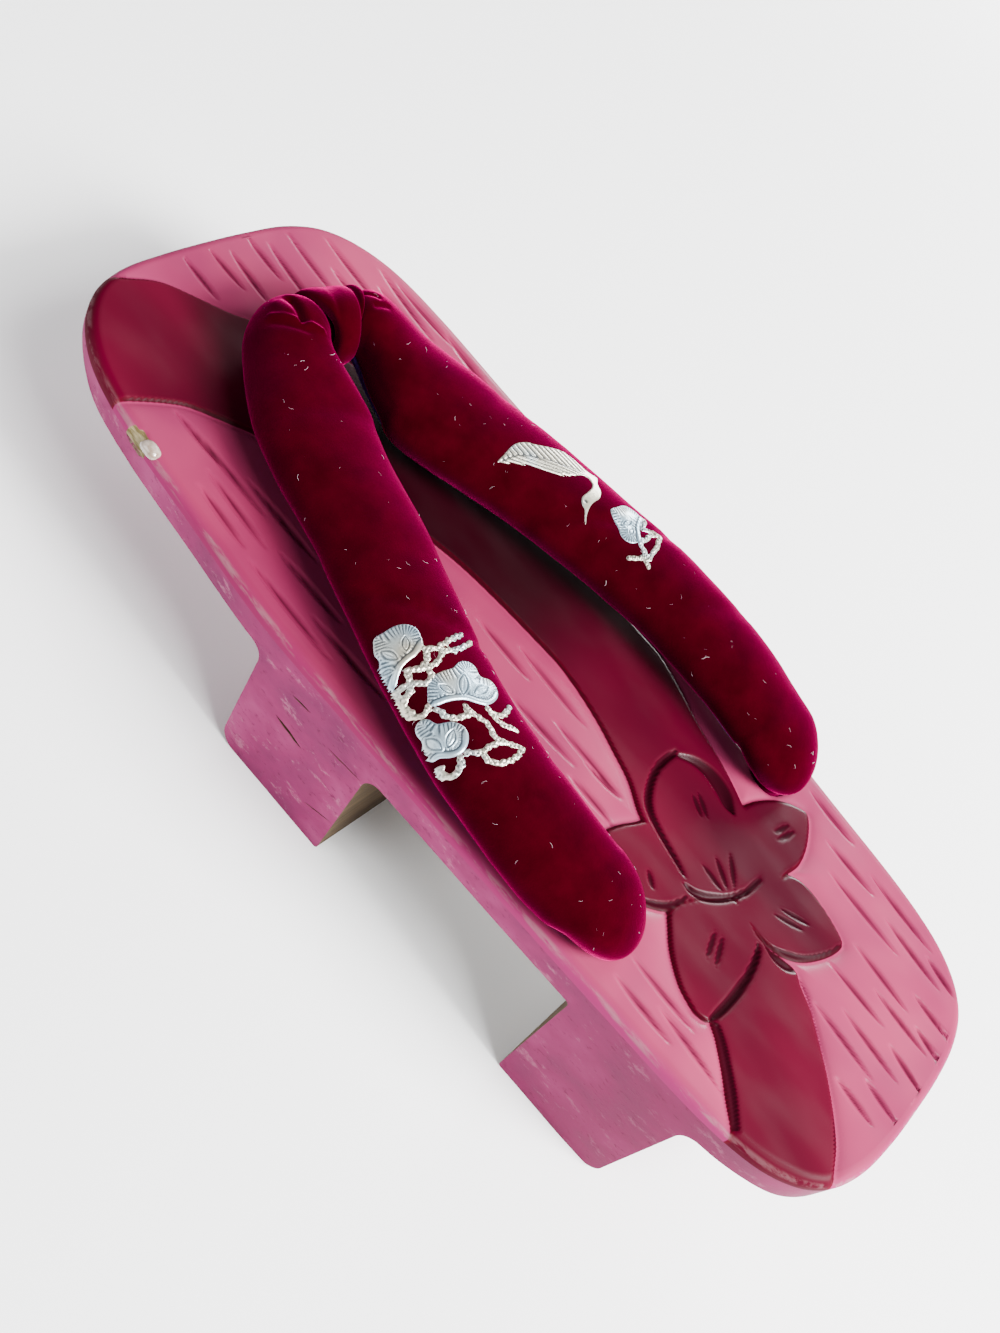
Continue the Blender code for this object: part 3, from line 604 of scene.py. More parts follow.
def make_board_top(material):
    """The carved top with its rounded rim, down to just below the rim."""
    places, outward = half_outline()
    inset = places - outward * RIM_RADIUS
    inset[:, 0] = np.maximum(inset[:, 0], 0.0)
    rows = len(inset) - 1
    plan = [inset[0]]
    for i in range(1, rows):
        x = np.linspace(-inset[i, 0], inset[i, 0], ACROSS_COUNT + 1)
        plan.extend(np.stack([x, np.full(len(x), inset[i, 1])], axis=1))
    plan.append(inset[rows])
    plan = np.array(plan)
    inner = len(plan)
    wide = ACROSS_COUNT + 1

    def at(i, j):
        if i == 0:
            return 0
        if i == rows:
            return inner - 1
        return 1 + (i - 1) * wide + j

    faces = []
    for j in range(ACROSS_COUNT):
        faces.append((0, at(1, j), at(1, j + 1)))
        faces.append((inner - 1, at(rows - 1, j + 1), at(rows - 1, j)))
    first = np.array([at(i, 0) for i in range(1, rows - 1)])
    j = np.arange(ACROSS_COUNT)
    low_left = (first[:, None] + j[None, :]).ravel()
    quads = np.stack([low_left, low_left + wide, low_left + wide + 1, low_left + 1], axis=1)
    # holes: points near a hole's edge go onto it, and what lies inside is left out
    keep = np.ones(inner, bool)
    for hole in HOLES:
        away = plan - hole
        far = np.hypot(away[:, 0], away[:, 1])
        close = np.abs(far - HOLE_RADIUS) < 0.45 * ALONG_STEP
        plan[close] = np.array(hole) + away[close] / far[close][:, None] * HOLE_RADIUS
        far = np.hypot(*(plan - hole).T)
        keep &= far > HOLE_RADIUS - 0.1 * ALONG_STEP
    quads = quads[keep[quads].all(axis=1)]
    faces.extend(quads.tolist())

    ring_ids = [at(i, ACROSS_COUNT) for i in range(rows + 1)]
    ring_ids += [at(i, 0) for i in range(rows - 1, 0, -1)]
    ring_count = len(ring_ids)
    edge = closed_ring(places)
    out = closed_ring(outward)
    out[rows + 1:, 0] = -outward[rows - 1:0:-1, 0]
    all_plan = [plan]
    drops = [np.zeros(inner)]
    rims = [np.zeros(inner)]
    heights_at = [top_height(plan[:, 1])]
    last = ring_ids
    base = inner
    for step in range(1, RIM_STEPS + 2):
        angle = math.radians(90) * min(step, RIM_STEPS) / RIM_STEPS
        back = RIM_RADIUS * (1 - math.sin(angle))
        drop = RIM_RADIUS * (1 - math.cos(angle)) + (SKIRT if step > RIM_STEPS else 0.0)
        ring = edge - out * back
        all_plan.append(ring)
        drops.append(np.full(ring_count, drop))
        rims.append(np.full(ring_count, min(step, RIM_STEPS) / RIM_STEPS))
        heights_at.append(top_height(ring[:, 1]))
        ids = list(range(base, base + ring_count))
        for k in range(ring_count):
            n = (k + 1) % ring_count
            faces.append((last[k], last[n], ids[n], ids[k]))
        last = ids
        base += ring_count
    plan = np.concatenate(all_plan)
    rim = np.concatenate(rims)
    cut, stroke, red = carve(plan * 1000)
    fade = np.clip(1.15 - 1.3 * rim, 0.0, 1.0)
    worn_hole = np.zeros(len(plan))
    for hole in HOLES:
        far = np.hypot(*(plan - hole).T) - HOLE_RADIUS
        worn = HOLE_WEAR * np.clip(1 - far / HOLE_WEAR_REACH, 0.0, 1.0) ** 2
        worn_hole = np.maximum(worn_hole, worn)
    (chip_x, chip_y), (half_wide, half_long), chip_depth = CHIP
    away = np.hypot((plan[:, 0] * 1000 - chip_x) / half_wide, (plan[:, 1] * 1000 - chip_y) / half_long)
    ragged = soft_waves(np.column_stack([plan, rim * 0.002]), 0.0022, 81)
    chip = 1.0 - away + 0.35 * ragged
    z = np.concatenate(heights_at) - np.concatenate(drops) - cut * fade - worn_hole
    z -= chip_depth / 1000 * smooth_share(chip * 2.5)
    thing = make_object("board_top", np.column_stack([plan, z]), faces, material)
    store(thing, "red", red)
    store(thing, "stroke", stroke * fade)
    store(thing, "rim", rim)
    store(thing, "chip", chip)
    return thing


def side_profile():
    """The block's outline from the side, with its tooth corners rounded."""
    above = 1.6 * TOP_HEIGHT
    ends = 1.05 * HALF_LENGTH

    def floor_of(rows):
        ys = [along * HALF_LENGTH for along, _ in rows]
        table = [(y, underside_height(y, rows), 0.0) for y in ys]
        return [(y, z, 0.0) for y, z, _ in smooth_rows(table, 4)]

    def root(y, rows, radius):
        return (y, underside_height(y, rows), radius)

    front, front_lean, back, back_lean = FRONT_TOOTH
    rear_front, rear_lean, rear_back, rear_back_lean = REAR_TOOTH
    corners = [(ends, above, 0.0)] + floor_of(UNDERSIDE_FRONT)
    corners += [
        root(front + front_lean, UNDERSIDE_FRONT, ROOT_FILLET),
        (front, 0.0, FRONT_TOE_ROUND),
        (back, 0.0, SHARP_ROUND),
        root(back + back_lean, UNDERSIDE_MIDDLE, ROOT_FILLET),
    ]
    corners += floor_of(UNDERSIDE_MIDDLE)
    corners += [
        root(rear_front + rear_lean, UNDERSIDE_MIDDLE, SHARP_ROUND),
        (rear_front, 0.0, SHARP_ROUND),
        (rear_back, 0.0, REAR_TOE_ROUND),
        root(rear_back + rear_back_lean, UNDERSIDE_REAR, ROOT_FILLET),
    ]
    corners += floor_of(UNDERSIDE_REAR)
    corners.append((-ends, above, 0.0))
    outline = []
    steps = 8
    for i, (y, z, radius) in enumerate(corners):
        here = Vector((y, z))
        if not radius:
            outline.append(here)
            continue
        back_way = (Vector(corners[i - 1][:2]) - here).normalized()
        on_way = (Vector(corners[(i + 1) % len(corners)][:2]) - here).normalized()
        half = back_way.angle(on_way) / 2
        middle = here + (back_way + on_way).normalized() * radius / math.sin(half)
        start = here + back_way * radius / math.tan(half) - middle
        end = here + on_way * radius / math.tan(half) - middle
        sweep = start.angle_signed(end)
        for step in range(steps + 1):
            spoke = start.copy()
            spoke.rotate(Matrix.Rotation(-sweep * step / steps, 2))
            outline.append(middle + spoke)
    return outline


def turn_outward(thing):
    """Makes a closed mesh's faces point outwards."""
    shape = bmesh.new()
    shape.from_mesh(thing.data)
    bmesh.ops.recalc_face_normals(shape, faces=shape.faces)
    shape.to_mesh(thing.data)
    shape.free()


def make_prism(name, outline, low, high):
    """A solid with one outline, as places ahead and up, from one place across to another."""
    n = len(outline)
    vertices = [(x, y, z) for x in (low, high) for y, z in outline]
    walls = [(i, (i + 1) % n, n + (i + 1) % n, n + i) for i in range(n)]
    prism = make_object(name, vertices, walls + [tuple(range(n - 1, -1, -1)), tuple(range(n, 2 * n))])
    turn_outward(prism)
    return prism


def make_board_body(lacquer, wood):
    """Sides, underside and teeth: the outline in plan crossed with the side profile."""
    places, _ = half_outline()

    def edge_reach(y):
        return float(np.interp(-y, -places[:, 1], places[:, 0]))

    ring = closed_ring(places)
    count = len(ring)
    top = top_height(ring[:, 1]) - RIM_RADIUS - SKIRT
    bottom = np.full(count, BLOCK_FOOT)
    vertices = [(x, y, z) for level in (bottom, top) for (x, y), z in zip(ring, level)]
    faces = [(i, (i + 1) % count, count + (i + 1) % count, count + i) for i in range(count)]
    for base in (0, count):
        for i in range(count // 2):
            corner = (base + i, base + i + 1, base + (count - i - 1) % count, base + (count - i) % count)
            faces.append(tuple(dict.fromkeys(corner)))
    block = make_object("board_body", vertices, faces)
    turn_outward(block)
    half = 1.2 * HALF_BALL
    cutters = [make_prism("saw_line", [tuple(place) for place in side_profile()], -half, half)]
    for x, y in HOLES:
        bore = bmesh.new()
        bmesh.ops.create_cone(
            bore, cap_ends=True, segments=48, radius1=HOLE_RADIUS, radius2=HOLE_RADIUS, depth=0.06,
            matrix=Matrix.Translation((x, y, TOP_HEIGHT)),
        )
        drill = make_object("drill", [], [])
        bore.to_mesh(drill.data)
        bore.free()
        turn_outward(drill)
        cutters.append(drill)
    for start, end, gape in CRACKS:
        start, end = Vector(start) / 1000, Vector(end) / 1000
        across = (end - start).orthogonal().normalized() * gape / 2000
        line = [tuple(start.lerp(end, share) + across * wide) for share, wide in CRACK_SHAPE]
        edge = -edge_reach((start.x + end.x) / 2)
        cutters.append(make_prism("crack", line, edge - CRACK_OUTSIDE, edge + CRACK_DEPTH))
    for cutter in cutters:
        step = block.modifiers.new(cutter.name, "BOOLEAN")
        step.operation = "INTERSECT" if cutter is cutters[0] else "DIFFERENCE"
        step.solver = "EXACT"
        step.object = cutter
    seen = block.evaluated_get(bpy.context.evaluated_depsgraph_get())
    mesh = bpy.data.meshes.new_from_object(seen)
    block.modifiers.clear()
    block.data = mesh
    for cutter in cutters:
        bpy.data.objects.remove(cutter, do_unlink=True)
    mesh.materials.clear()
    mesh.materials.append(lacquer)
    mesh.materials.append(wood)
    between_low = REAR_TOOTH[0] - BETWEEN_ROOM
    between_high = FRONT_TOOTH[2] + FRONT_TOOTH[3] + BETWEEN_ROOM
    for face in mesh.polygons:
        middle, normal = face.center, face.normal
        between = between_low < middle.y < between_high and abs(normal.x) < 0.3
        standing = middle.z < SOLE_ROOM
        bored = min(math.hypot(middle.x - x, middle.y - y) for x, y in HOLES) < HOLE_RADIUS
        # the walls of the cracks, and the rounded corners of the teeth
        in_tooth = middle.z < TOOTH_HEIGHT and abs(middle.x) < edge_reach(middle.y) - EDGE_ROOM
        in_tooth = in_tooth and abs(normal.y) < 0.9
        bare = (between or standing or bored or in_tooth) and abs(normal.x) < 0.95
        face.material_index = 1 if bare else 0
    mesh.shade_smooth()
    mesh.set_sharp_from_angle(angle=math.radians(SHARP_DEGREES))
    return block


def rise_and_fall(tree, value, rise, fall):
    """A pattern that is one where a value lies between two soft edges."""
    edges = [
        add_node(
            tree, "ShaderNodeMapRange", {"Value": value, "From Min": low, "From Max": high},
            interpolation_type="SMOOTHSTEP",
        )
        for low, high in (rise, fall)
    ]
    return add_node(tree, "ShaderNodeMath", {0: edges[0], 1: edges[1]}, operation="MULTIPLY")


# Lacquer on the carved top, brushed on in coats: dusty pink, and a clear dark red, both darkened
# by painted shade along the middle of the board, between and under the straps. It shines softly on
# the flat, is dull in every cut and darkened there by painted shade, and is rubbed pale in thin
# streaks along the rim. Attributes carry the carving and the painted shade of its cuts.
lacquer_top, tree = new_material("brushed_lacquer_on_carved_wood")
red, stroke, rim, chip = [
    add_node(tree, "ShaderNodeAttribute", out="Fac", attribute_name=name)
    for name in ("red", "stroke", "rim", "chip")
]
place = add_node(tree, "ShaderNodeTexCoord", out="Object")
along = add_node(tree, "ShaderNodeSeparateXYZ", {"Vector": place}, out="Y")
# painted shade: the top is darkened along the middle of the board, between and under the straps
painted_strap_shade = rise_and_fall(tree, along, (-0.035, 0.015), (0.085, 0.050))
mottle = grain(tree, 7.0, (1.0, 0.4, 1.0), detail=1.5, seed=1.7)
pink = add_node(
    tree, "ShaderNodeValToRGB", {"Fac": grain(tree, 22.0, detail=2.0, seed=2.1)},
    stops=((0.35, "#7A2546"), (0.65, "#8C2D4E")),
)
pink = overlay(tree, pink, "#6C1C3C", mottle, (0.62, 0.78), 0.12)
pink = overlay(tree, pink, "#8A2558", rim, (0.15, 0.90))
# painted shade between and under the straps, on the pink
pink = overlay(tree, pink, "#6C1436", painted_strap_shade, share=0.45)
# painted shade darkens the pink in the cuts
pink = overlay(tree, pink, "#400A1E", stroke, (0.30, 1.00), 0.88)
clouds = grain(tree, 26.0, (1.0, 0.45, 1.0), detail=1.5, seed=0.3)
dark = add_node(
    tree, "ShaderNodeValToRGB", {"Fac": clouds},
    stops=((0.30, "#320010"), (0.50, "#420116"), (0.68, "#52031E")),
)
# painted shade between and under the straps, on the red
dark = overlay(tree, dark, "#120003", painted_strap_shade, share=0.92)
dark = overlay(tree, dark, "#5E0016", red, (0.70, 0.10), 0.50)
# painted shade darkens the red in the cuts
dark = overlay(tree, dark, "#1C040A", stroke, (0.08, 0.65), 0.80)
colour = overlay(tree, pink, dark, red, (-0.28, -0.05))
scratches = grain(tree, 1.5, (1.0, 0.13, 1.0), detail=5.0, roughness=0.7, seed=4.4)
rubbed = add_node(
    tree, "ShaderNodeMapRange", {"Value": scratches, "From Min": 0.43, "From Max": 0.60},
    interpolation_type="SMOOTHSTEP",
)
rim_line = rise_and_fall(tree, rim, (0.40, 0.60), (0.92, 0.74))
scuffs = add_node(tree, "ShaderNodeMath", {0: rim_line, 1: rubbed}, operation="MULTIPLY")
less_on_red = add_node(
    tree, "ShaderNodeMapRange",
    {"Value": red, "From Min": -0.2, "From Max": 0.3, "To Min": 0.50, "To Max": 0.22},
    interpolation_type="SMOOTHSTEP",
)
scuff_share = add_node(tree, "ShaderNodeMath", {0: scuffs, 1: less_on_red}, operation="MULTIPLY")
colour = overlay(tree, colour, "#8C6A6E", scuff_share)
splinters = add_node(
    tree, "ShaderNodeValToRGB", {"Fac": grain(tree, 0.8, (1.0, 0.2, 1.0), seed=15.0)},
    stops=((0.4, "#5E5234"), (0.6, "#9A8E6C")),
)
colour = overlay(tree, colour, splinters, chip, (-0.02, 0.08))
uneven = add_node(
    tree, "ShaderNodeMapRange",
    {"Value": mottle, "From Min": 0.35, "From Max": 0.75, "To Min": 0.29, "To Max": 0.42},
    interpolation_type="SMOOTHSTEP",
)
dulled = add_node(
    tree, "ShaderNodeMapRange",
    {"Value": rim, "From Min": 0.10, "From Max": 0.60, "To Max": 0.32},
    interpolation_type="SMOOTHSTEP",
)
roughness = add_node(tree, "ShaderNodeMath", {0: uneven, 1: dulled}, operation="ADD")
worn = add_node(tree, "ShaderNodeMath", {0: rim, 1: 1.5}, operation="MULTIPLY")
sunk_or_worn = add_node(tree, "ShaderNodeMath", {0: stroke, 1: worn}, operation="MAXIMUM")
gloss = add_node(
    tree, "ShaderNodeMapRange",
    {"Value": sunk_or_worn, "From Min": 0.02, "From Max": 0.35, "To Min": 0.20, "To Max": 0.03},
    interpolation_type="SMOOTHSTEP",
)
brushed = grain(tree, 3.6, (1.0, 0.30, 1.0), detail=1.5, seed=5.5)
height = add_node(tree, "ShaderNodeMath", {0: scuffs, 1: -0.6, 2: brushed}, operation="MULTIPLY_ADD")
bump = add_node(tree, "ShaderNodeBump", {"Height": height, "Strength": 0.20, "Distance": 0.00012})
surface(tree, {
    "Base Color": colour, "Roughness": roughness, "IOR": 1.5, "Specular IOR Level": gloss,
    "Normal": bump,
})

# The same lacquer on sawn wood: nearly matte and blotchy, with dark pores and rubbed pale flecks
# that run with the wood, and darkened towards the heel by painted shade
lacquer_side, tree = new_material("brushed_lacquer_on_sawn_wood")
blotch = grain(tree, 12.0, (1.0, 0.6, 1.0), detail=4.0, seed=7.0)
pores = grain(tree, 1.4, (1.0, 0.5, 1.3), detail=6.0, roughness=0.72, seed=9.0)
flecks = grain(tree, 3.4, (1.0, 0.4, 1.0), detail=6.0, roughness=0.75, seed=11.0)
place = add_node(tree, "ShaderNodeTexCoord", out="Object")
along = add_node(tree, "ShaderNodeSeparateXYZ", {"Vector": place}, out="Y")
colour = add_node(
    tree, "ShaderNodeValToRGB", {"Fac": blotch},
    stops=((0.32, "#681A46"), (0.50, "#7E2452"), (0.68, "#903864")),
)
colour = overlay(tree, colour, "#4E0F30", pores, (0.57, 0.66), 0.6)
colour = overlay(tree, colour, "#A4617C", flecks, (0.57, 0.68), 0.6)
# painted shade: the side is darkened towards the heel
colour = overlay(tree, colour, "#5A1230", along, (-0.030, -0.085), 0.55)
roughness = add_node(
    tree, "ShaderNodeMapRange",
    {"Value": blotch, "From Min": 0.3, "From Max": 0.7, "To Min": 0.55, "To Max": 0.75},
    interpolation_type="SMOOTHSTEP",
)
saw_marks = grain(tree, 4.0, (0.5, 0.15, 1.0), seed=12.0)
height = add_node(tree, "ShaderNodeMath", {0: pores, 1: saw_marks}, operation="ADD")
bump = add_node(tree, "ShaderNodeBump", {"Height": height, "Strength": 0.30, "Distance": 0.00025})
surface(tree, {
    "Base Color": colour, "Roughness": roughness, "IOR": 1.5, "Specular IOR Level": 0.08,
    "Normal": bump,
})

# Bare paulownia, sawn and never finished: dull olive brown with darker lines along its grain
bare_wood, tree = new_material("sawn_paulownia_wood")
rings = grain(tree, 2.2, (0.06, 1.0, 0.8), detail=5.0, roughness=0.6, seed=3.0)
fibres = grain(tree, 0.7, (0.04, 1.0, 1.0), detail=4.0, seed=6.0)
colour = add_node(
    tree, "ShaderNodeValToRGB", {"Fac": rings},
    stops=((0.32, "#382B19"), (0.50, "#4E3D26"), (0.68, "#5E4B31")),
)
colour = overlay(tree, colour, "#2A2013", fibres, (0.55, 0.75), 0.55)
colour = overlay(tree, colour, "#433631", grain(tree, 14.0, seed=8.0), (0.5, 0.8), 0.4)
bump = add_node(tree, "ShaderNodeBump", {"Height": fibres, "Strength": 0.5, "Distance": 0.0003})
surface(tree, {
    "Base Color": colour, "Roughness": 0.82, "Specular IOR Level": 0.3, "Normal": bump,
})

board_top = make_board_top(lacquer_top)
board_body = make_board_body(lacquer_side, bare_wood)
for piece in (board_top, board_body):
    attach(piece, "root")
    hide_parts("dai")

# Straps. Velvet over cord and padding, with a plain violet cloth underneath; one run from rear
# hole to rear hole, pinched at the toe by the loop. The pile is dark face on and glows at edges.
STRAP_WIDTH = 0.0250
STRAP_THICKNESS = 0.0138
STRAP_RISE = 0.0084
PINCH_RADIUS = 0.0040
PINCH_RISE = 0.0106
FIT_GAP = 0.0003
END_DEPTH = 0.0072
KNOT_TURN = 15.0
KNOT_LEAN = 0.0034
KNOT_REACH = 0.055
LOOP_FRONT_WIDTH = 0.0136
LOOP_BACK_WIDTH = 0.0052
TOE_SECTIONS = (
    # outer x, outer y, inner x, inner y, rise, thick
    (0.316, 0.250, 0.136, -0.176, 1.32, 0.78), (0.440, 0.284, 0.172, -0.260, 1.29, 0.92),
    (0.590, 0.236, 0.192, -0.390, 1.21, 1.00), (0.735, 0.080, 0.172, -0.560, 1.12, 1.02),
    (0.865, -0.200, 0.148, -0.800, 1.05, 1.02),
)
STRAP_SECTIONS = (
    # along, outer edge as a share of the board's half width, rise, wide, thick, tilt
    (0.172, 0.616, 1.01, 1.04, 1.01, 7.0), (0.314, 0.721, 1.00, 1.02, 1.00, 7.0),
    (0.456, 0.830, 1.00, 0.97, 0.97, 7.0), (0.655, 0.958, 1.00, 0.94, 0.96, 4.0),
    (0.827, 0.992, 0.93, 0.94, 0.93, 0.0), (0.924, 0.963, 0.81, 0.90, 0.84, -2.0),
)
NOSE_SECTIONS = (
    # over, high, under, low, wide
    (-1.10, 0.880, -1.62, 0.115, 0.86), (0.10, 0.740, -1.38, 0.090, 0.80),
    (0.92, 0.490, -1.18, 0.075, 0.70), (1.26, 0.220, -1.04, 0.060, 0.56),
    (0.96, 0.040, -0.94, 0.022, 0.39),
)
PINCH_SHARES = (0.0, 0.6, 1.0)
NECK_SHARES = (0.1, 0.5, 1.0)
STRAP_SIDES = 96
STRAP_STEPS = 14
LINING_FROM = -150.0
LINING_TO = -52.0
FRONT_Y = FRONT_HOLE[1]
REAR_X, REAR_Y = REAR_HOLE


def loop_half_width(ahead_of_hole):
    share = min(max((ahead_of_hole + PINCH_RADIUS) / (2 * PINCH_RADIUS), 0.0), 1.0)
    return (LOOP_BACK_WIDTH + (LOOP_FRONT_WIDTH - LOOP_BACK_WIDTH) * share) / 2


def upright_row(outer, inner, height, half_thickness):
    centre = (Vector(outer) + Vector(inner)) / 2
    across = (Vector(outer) - Vector(inner)) / 2
    return (centre.x, centre.y, height, across.x, across.y, 0.0, 0.0, 0.0, half_thickness)


def strap_middle(along, edge, rise, wide):
    """Middle of a section whose outer edge lies at a share of the board's half width."""
    y = FRONT_Y + (REAR_Y - FRONT_Y) * along
    return Vector((edge * HALF_BALL - wide * STRAP_WIDTH / 2, y, top_height(y) + rise * STRAP_RISE))


def strap_rows():
    """Right half of the strap: centre, width vector and height vector of each section."""
    toe = []
    for share in PINCH_SHARES:
        outer = (share * (loop_half_width(PINCH_RADIUS) + FIT_GAP), FRONT_Y + PINCH_RADIUS)
        inner = (share * (loop_half_width(-PINCH_RADIUS) + FIT_GAP), FRONT_Y - PINCH_RADIUS)
        toe.append(upright_row(outer, inner, top_height(FRONT_Y) + PINCH_RISE, PINCH_RADIUS))
    for outer_x, outer_y, inner_x, inner_y, rise, thick in TOE_SECTIONS:
        outer = (outer_x * STRAP_WIDTH, FRONT_Y + outer_y * STRAP_WIDTH)
        inner = (inner_x * STRAP_WIDTH, FRONT_Y + inner_y * STRAP_WIDTH)
        height = top_height((outer[1] + inner[1]) / 2) + rise * STRAP_RISE
        toe.append(upright_row(outer, inner, height, thick * STRAP_THICKNESS / 2))
    last = strap_middle(*STRAP_SECTIONS[-1][:4])
    run = Vector((REAR_X - last.x, REAR_Y - last.y, 0.0)).normalized()
    hole = Vector((REAR_X, REAR_Y, top_height(REAR_Y)))
    side = Vector((-run.y, run.x, 0.0))
    lift = Vector((0.0, 0.0, 1.0))
    nose = []
    for over, high, under, low, wide in NOSE_SECTIONS:
        top = hole + run * over * HOLE_RADIUS + lift * high * STRAP_THICKNESS
        bottom = hole + run * under * HOLE_RADIUS + lift * low * STRAP_THICKNESS
        nose.append((*((top + bottom) / 2), *(side * wide * STRAP_WIDTH / 2), *((top - bottom) / 2)))
    neck = HOLE_RADIUS - FIT_GAP
    for share in NECK_SHARES:
        nose.append((*(hole - lift * share * END_DEPTH), *(side * neck), *(run * neck)))
    centres = [Vector(toe[-1][:3])]
    for section in STRAP_SECTIONS:
        centres.append(strap_middle(*section[:4]))
    centres.append(Vector(nose[0][:3]))
    middle = []
    for i, (_, _, _, wide, thick, tilt) in enumerate(STRAP_SECTIONS, start=1):
        way = (centres[i + 1] - centres[i - 1]).normalized()
        tip = Matrix.Rotation(math.radians(tilt), 3, way)
        across = tip @ Vector((-way.y, way.x, 0.0)).normalized() * wide * STRAP_WIDTH / 2
        upward = tip @ way.cross(across).normalized() * thick * STRAP_THICKNESS / 2
        middle.append((*centres[i], *across, *upward))
    return toe + middle + nose


def settled(points):
    """Turns and leans what is near the front hole, as the toe knot has settled."""
    points = points.copy()
    offset = points[:, :2] - (0.0, FRONT_Y)
    nearness = np.clip(1.0 - np.hypot(*offset.T) / KNOT_REACH, 0.0, None)
    share = nearness ** 2 * (3 - 2 * nearness)
    angle = -math.radians(KNOT_TURN) * share
    x = offset[:, 0] * np.cos(angle) - offset[:, 1] * np.sin(angle)
    y = offset[:, 0] * np.sin(angle) + offset[:, 1] * np.cos(angle)
    rise = np.clip((points[:, 2] - top_height(points[:, 1])) / PINCH_RISE, 0.0, 1.0)
    points[:, 0] = x + KNOT_LEAN * share * rise
    points[:, 1] = FRONT_Y + y
    return points


def tube_points(rows, sides, angles=None):
    """Points of every oval section, ring after ring."""
    angles = np.arange(sides) * math.tau / sides if angles is None else angles
    centre, across, upward = rows[:, None, 0:3], rows[:, None, 3:6], rows[:, None, 6:9]
    return centre + across * np.cos(angles)[None, :, None] + upward * np.sin(angles)[None, :, None]


def tube_faces(rings, sides):
    i = np.arange(rings - 1)[:, None] * sides
    j = np.arange(sides)[None, :]
    k = (j + 1) % sides
    faces = np.stack([i + j, i + k, i + sides + k, i + sides + j], axis=-1).reshape(-1, 4).tolist()
    faces.append(list(range(sides - 1, -1, -1)))
    faces.append([(rings - 1) * sides + n for n in range(sides)])
    return faces


# Soft creases across a strap: side of the foot, place ahead (mm), slant, width, depth (mm)
CREASES = (
    (-1, 12.9, 1.27, 1.5, 0.55), (-1, 62.0, 0.35, 2.4, 0.25), (-1, -20.0, -0.20, 2.6, 0.20),
    (1, 15.1, 0.71, 1.4, 0.55), (1, -8.0, 0.60, 2.2, 0.25), (1, 50.0, -0.20, 2.4, 0.20),
)
# Gathers where the loop squeezes the straps, as lines in plan (mm): line, width, rise (mm)
GATHERS = (
    (((-6.5, 86.0), (-6.8, 83.6), (-7.2, 81.8), (-7.8, 79.9)), 0.85, -1.5),
    (((-9.3, 86.0), (-9.4, 83.6)), 1.3, 0.45),
    (((-11.9, 84.2), (-10.4, 82.4), (-8.8, 80.4), (-7.1, 78.6), (-5.4, 76.6)), 0.60, 0.55),
    (((-13.0, 82.9), (-11.5, 81.2), (-9.9, 79.3), (-8.2, 77.4)), 0.80, -0.40),
    (((11.4, 81.6), (13.4, 79.4)), 0.60, -0.60),
    (((10.8, 77.6), (13.6, 76.6)), 0.70, -0.50),
)
# Where the left strap lies wider on its inner side: middle ahead, reach, by how much (mm)
LEFT_SPREAD = (66.0, 11.0, 2.6)
# The padding's slow swells and its finer ripples: height and width of one
PADDING_SWELL = (0.00022, 0.022)
PADDING_RIPPLE = (0.00010, 0.007)
# The seams beside the lining: depth, and width in degrees round the strap
SEAM_DEPTH = 0.00035
SEAM_WIDTH = 5.0
# The gathers start at this height and are full a little above it
GATHER_HEIGHT = 0.0520
GATHER_RISE = 0.003


def make_strap(velvet, lining):
    rows = strap_rows()
    ghost = (-rows[1][0],) + rows[1][1:]
    right = smooth_rows(rows, STRAP_STEPS, before=ghost)
    flip = np.array([-1, 1, 1, -1, 1, 1, -1, 1, 1.0])
    rows = np.concatenate([(right * flip)[:0:-1], right])
    points = tube_points(rows, STRAP_SIDES).reshape(-1, 3)
    centres = np.repeat(rows[:, :3], STRAP_SIDES, axis=0)
    angle = np.tile(np.degrees(np.arange(STRAP_SIDES) * math.tau / STRAP_SIDES), len(rows))
    angle = np.where(angle > 180, angle - 360, angle)
    outward = points - centres
    outward /= np.linalg.norm(outward, axis=1)[:, None]
    free = np.clip((points[:, 2] - top_height(points[:, 1]) - 0.001) / 0.003, 0.0, 1.0)
    far = np.abs(rows[:, 0]).repeat(STRAP_SIDES)
    swell = PADDING_SWELL[0] * soft_waves(points, PADDING_SWELL[1], 5)
    swell += PADDING_RIPPLE[0] * soft_waves(points, PADDING_RIPPLE[1], 6)
    swell *= np.clip((far - 0.006) / 0.010, 0.0, 1.0)
    above = np.clip((angle + 20) / 40, 0, 1) * np.clip((200 - angle) / 40, 0, 1)
    for side, ahead_mm, slant, width, depth in CREASES:
        y = points[:, 1] * 1000 + slant * (points[:, 0] * 1000 - side * 25)
        here = (np.sign(points[:, 0]) == side) & (angle > -25)
        swell -= np.where(here, depth / 1000 * np.exp(-((y - ahead_mm) / width) ** 2), 0.0) * above
    for seam in (LINING_FROM, LINING_TO):
        swell -= SEAM_DEPTH * np.exp(-((angle - seam) / SEAM_WIDTH) ** 2)
    points = settled(points + outward * (swell * free)[:, None])
    high = np.clip((points[:, 2] - GATHER_HEIGHT) / GATHER_RISE, 0.0, 1.0)
    for line, width, rise in GATHERS:
        near = distance_to(points[:, :2] * 1000, curve_2d(line))[0]
        points += outward * (rise / 1000 * high * np.exp(-(near / width) ** 2))[:, None]
    middle_ahead, reach, wider = LEFT_SPREAD
    inner = np.where(points[:, 0] < 0, np.clip(outward[:, 0], 0.0, 1.0), 0.0)
    inner *= np.exp(-((points[:, 1] * 1000 - middle_ahead) / reach) ** 2)
    points[:, 0] += wider / 1000 * inner
    strap = make_object("velvet_strap", points, tube_faces(len(rows), STRAP_SIDES), velvet)
    strap.data.materials.append(lining)
    middle = (angle[:STRAP_SIDES] + 360 / STRAP_SIDES / 2)
    lined = (middle > LINING_FROM) & (middle < LINING_TO)
    index = np.zeros(len(strap.data.polygons), np.int32)
    index[:(len(rows) - 1) * STRAP_SIDES] = np.tile(lined, len(rows) - 1)
    strap.data.polygons.foreach_set("material_index", index)
    return strap


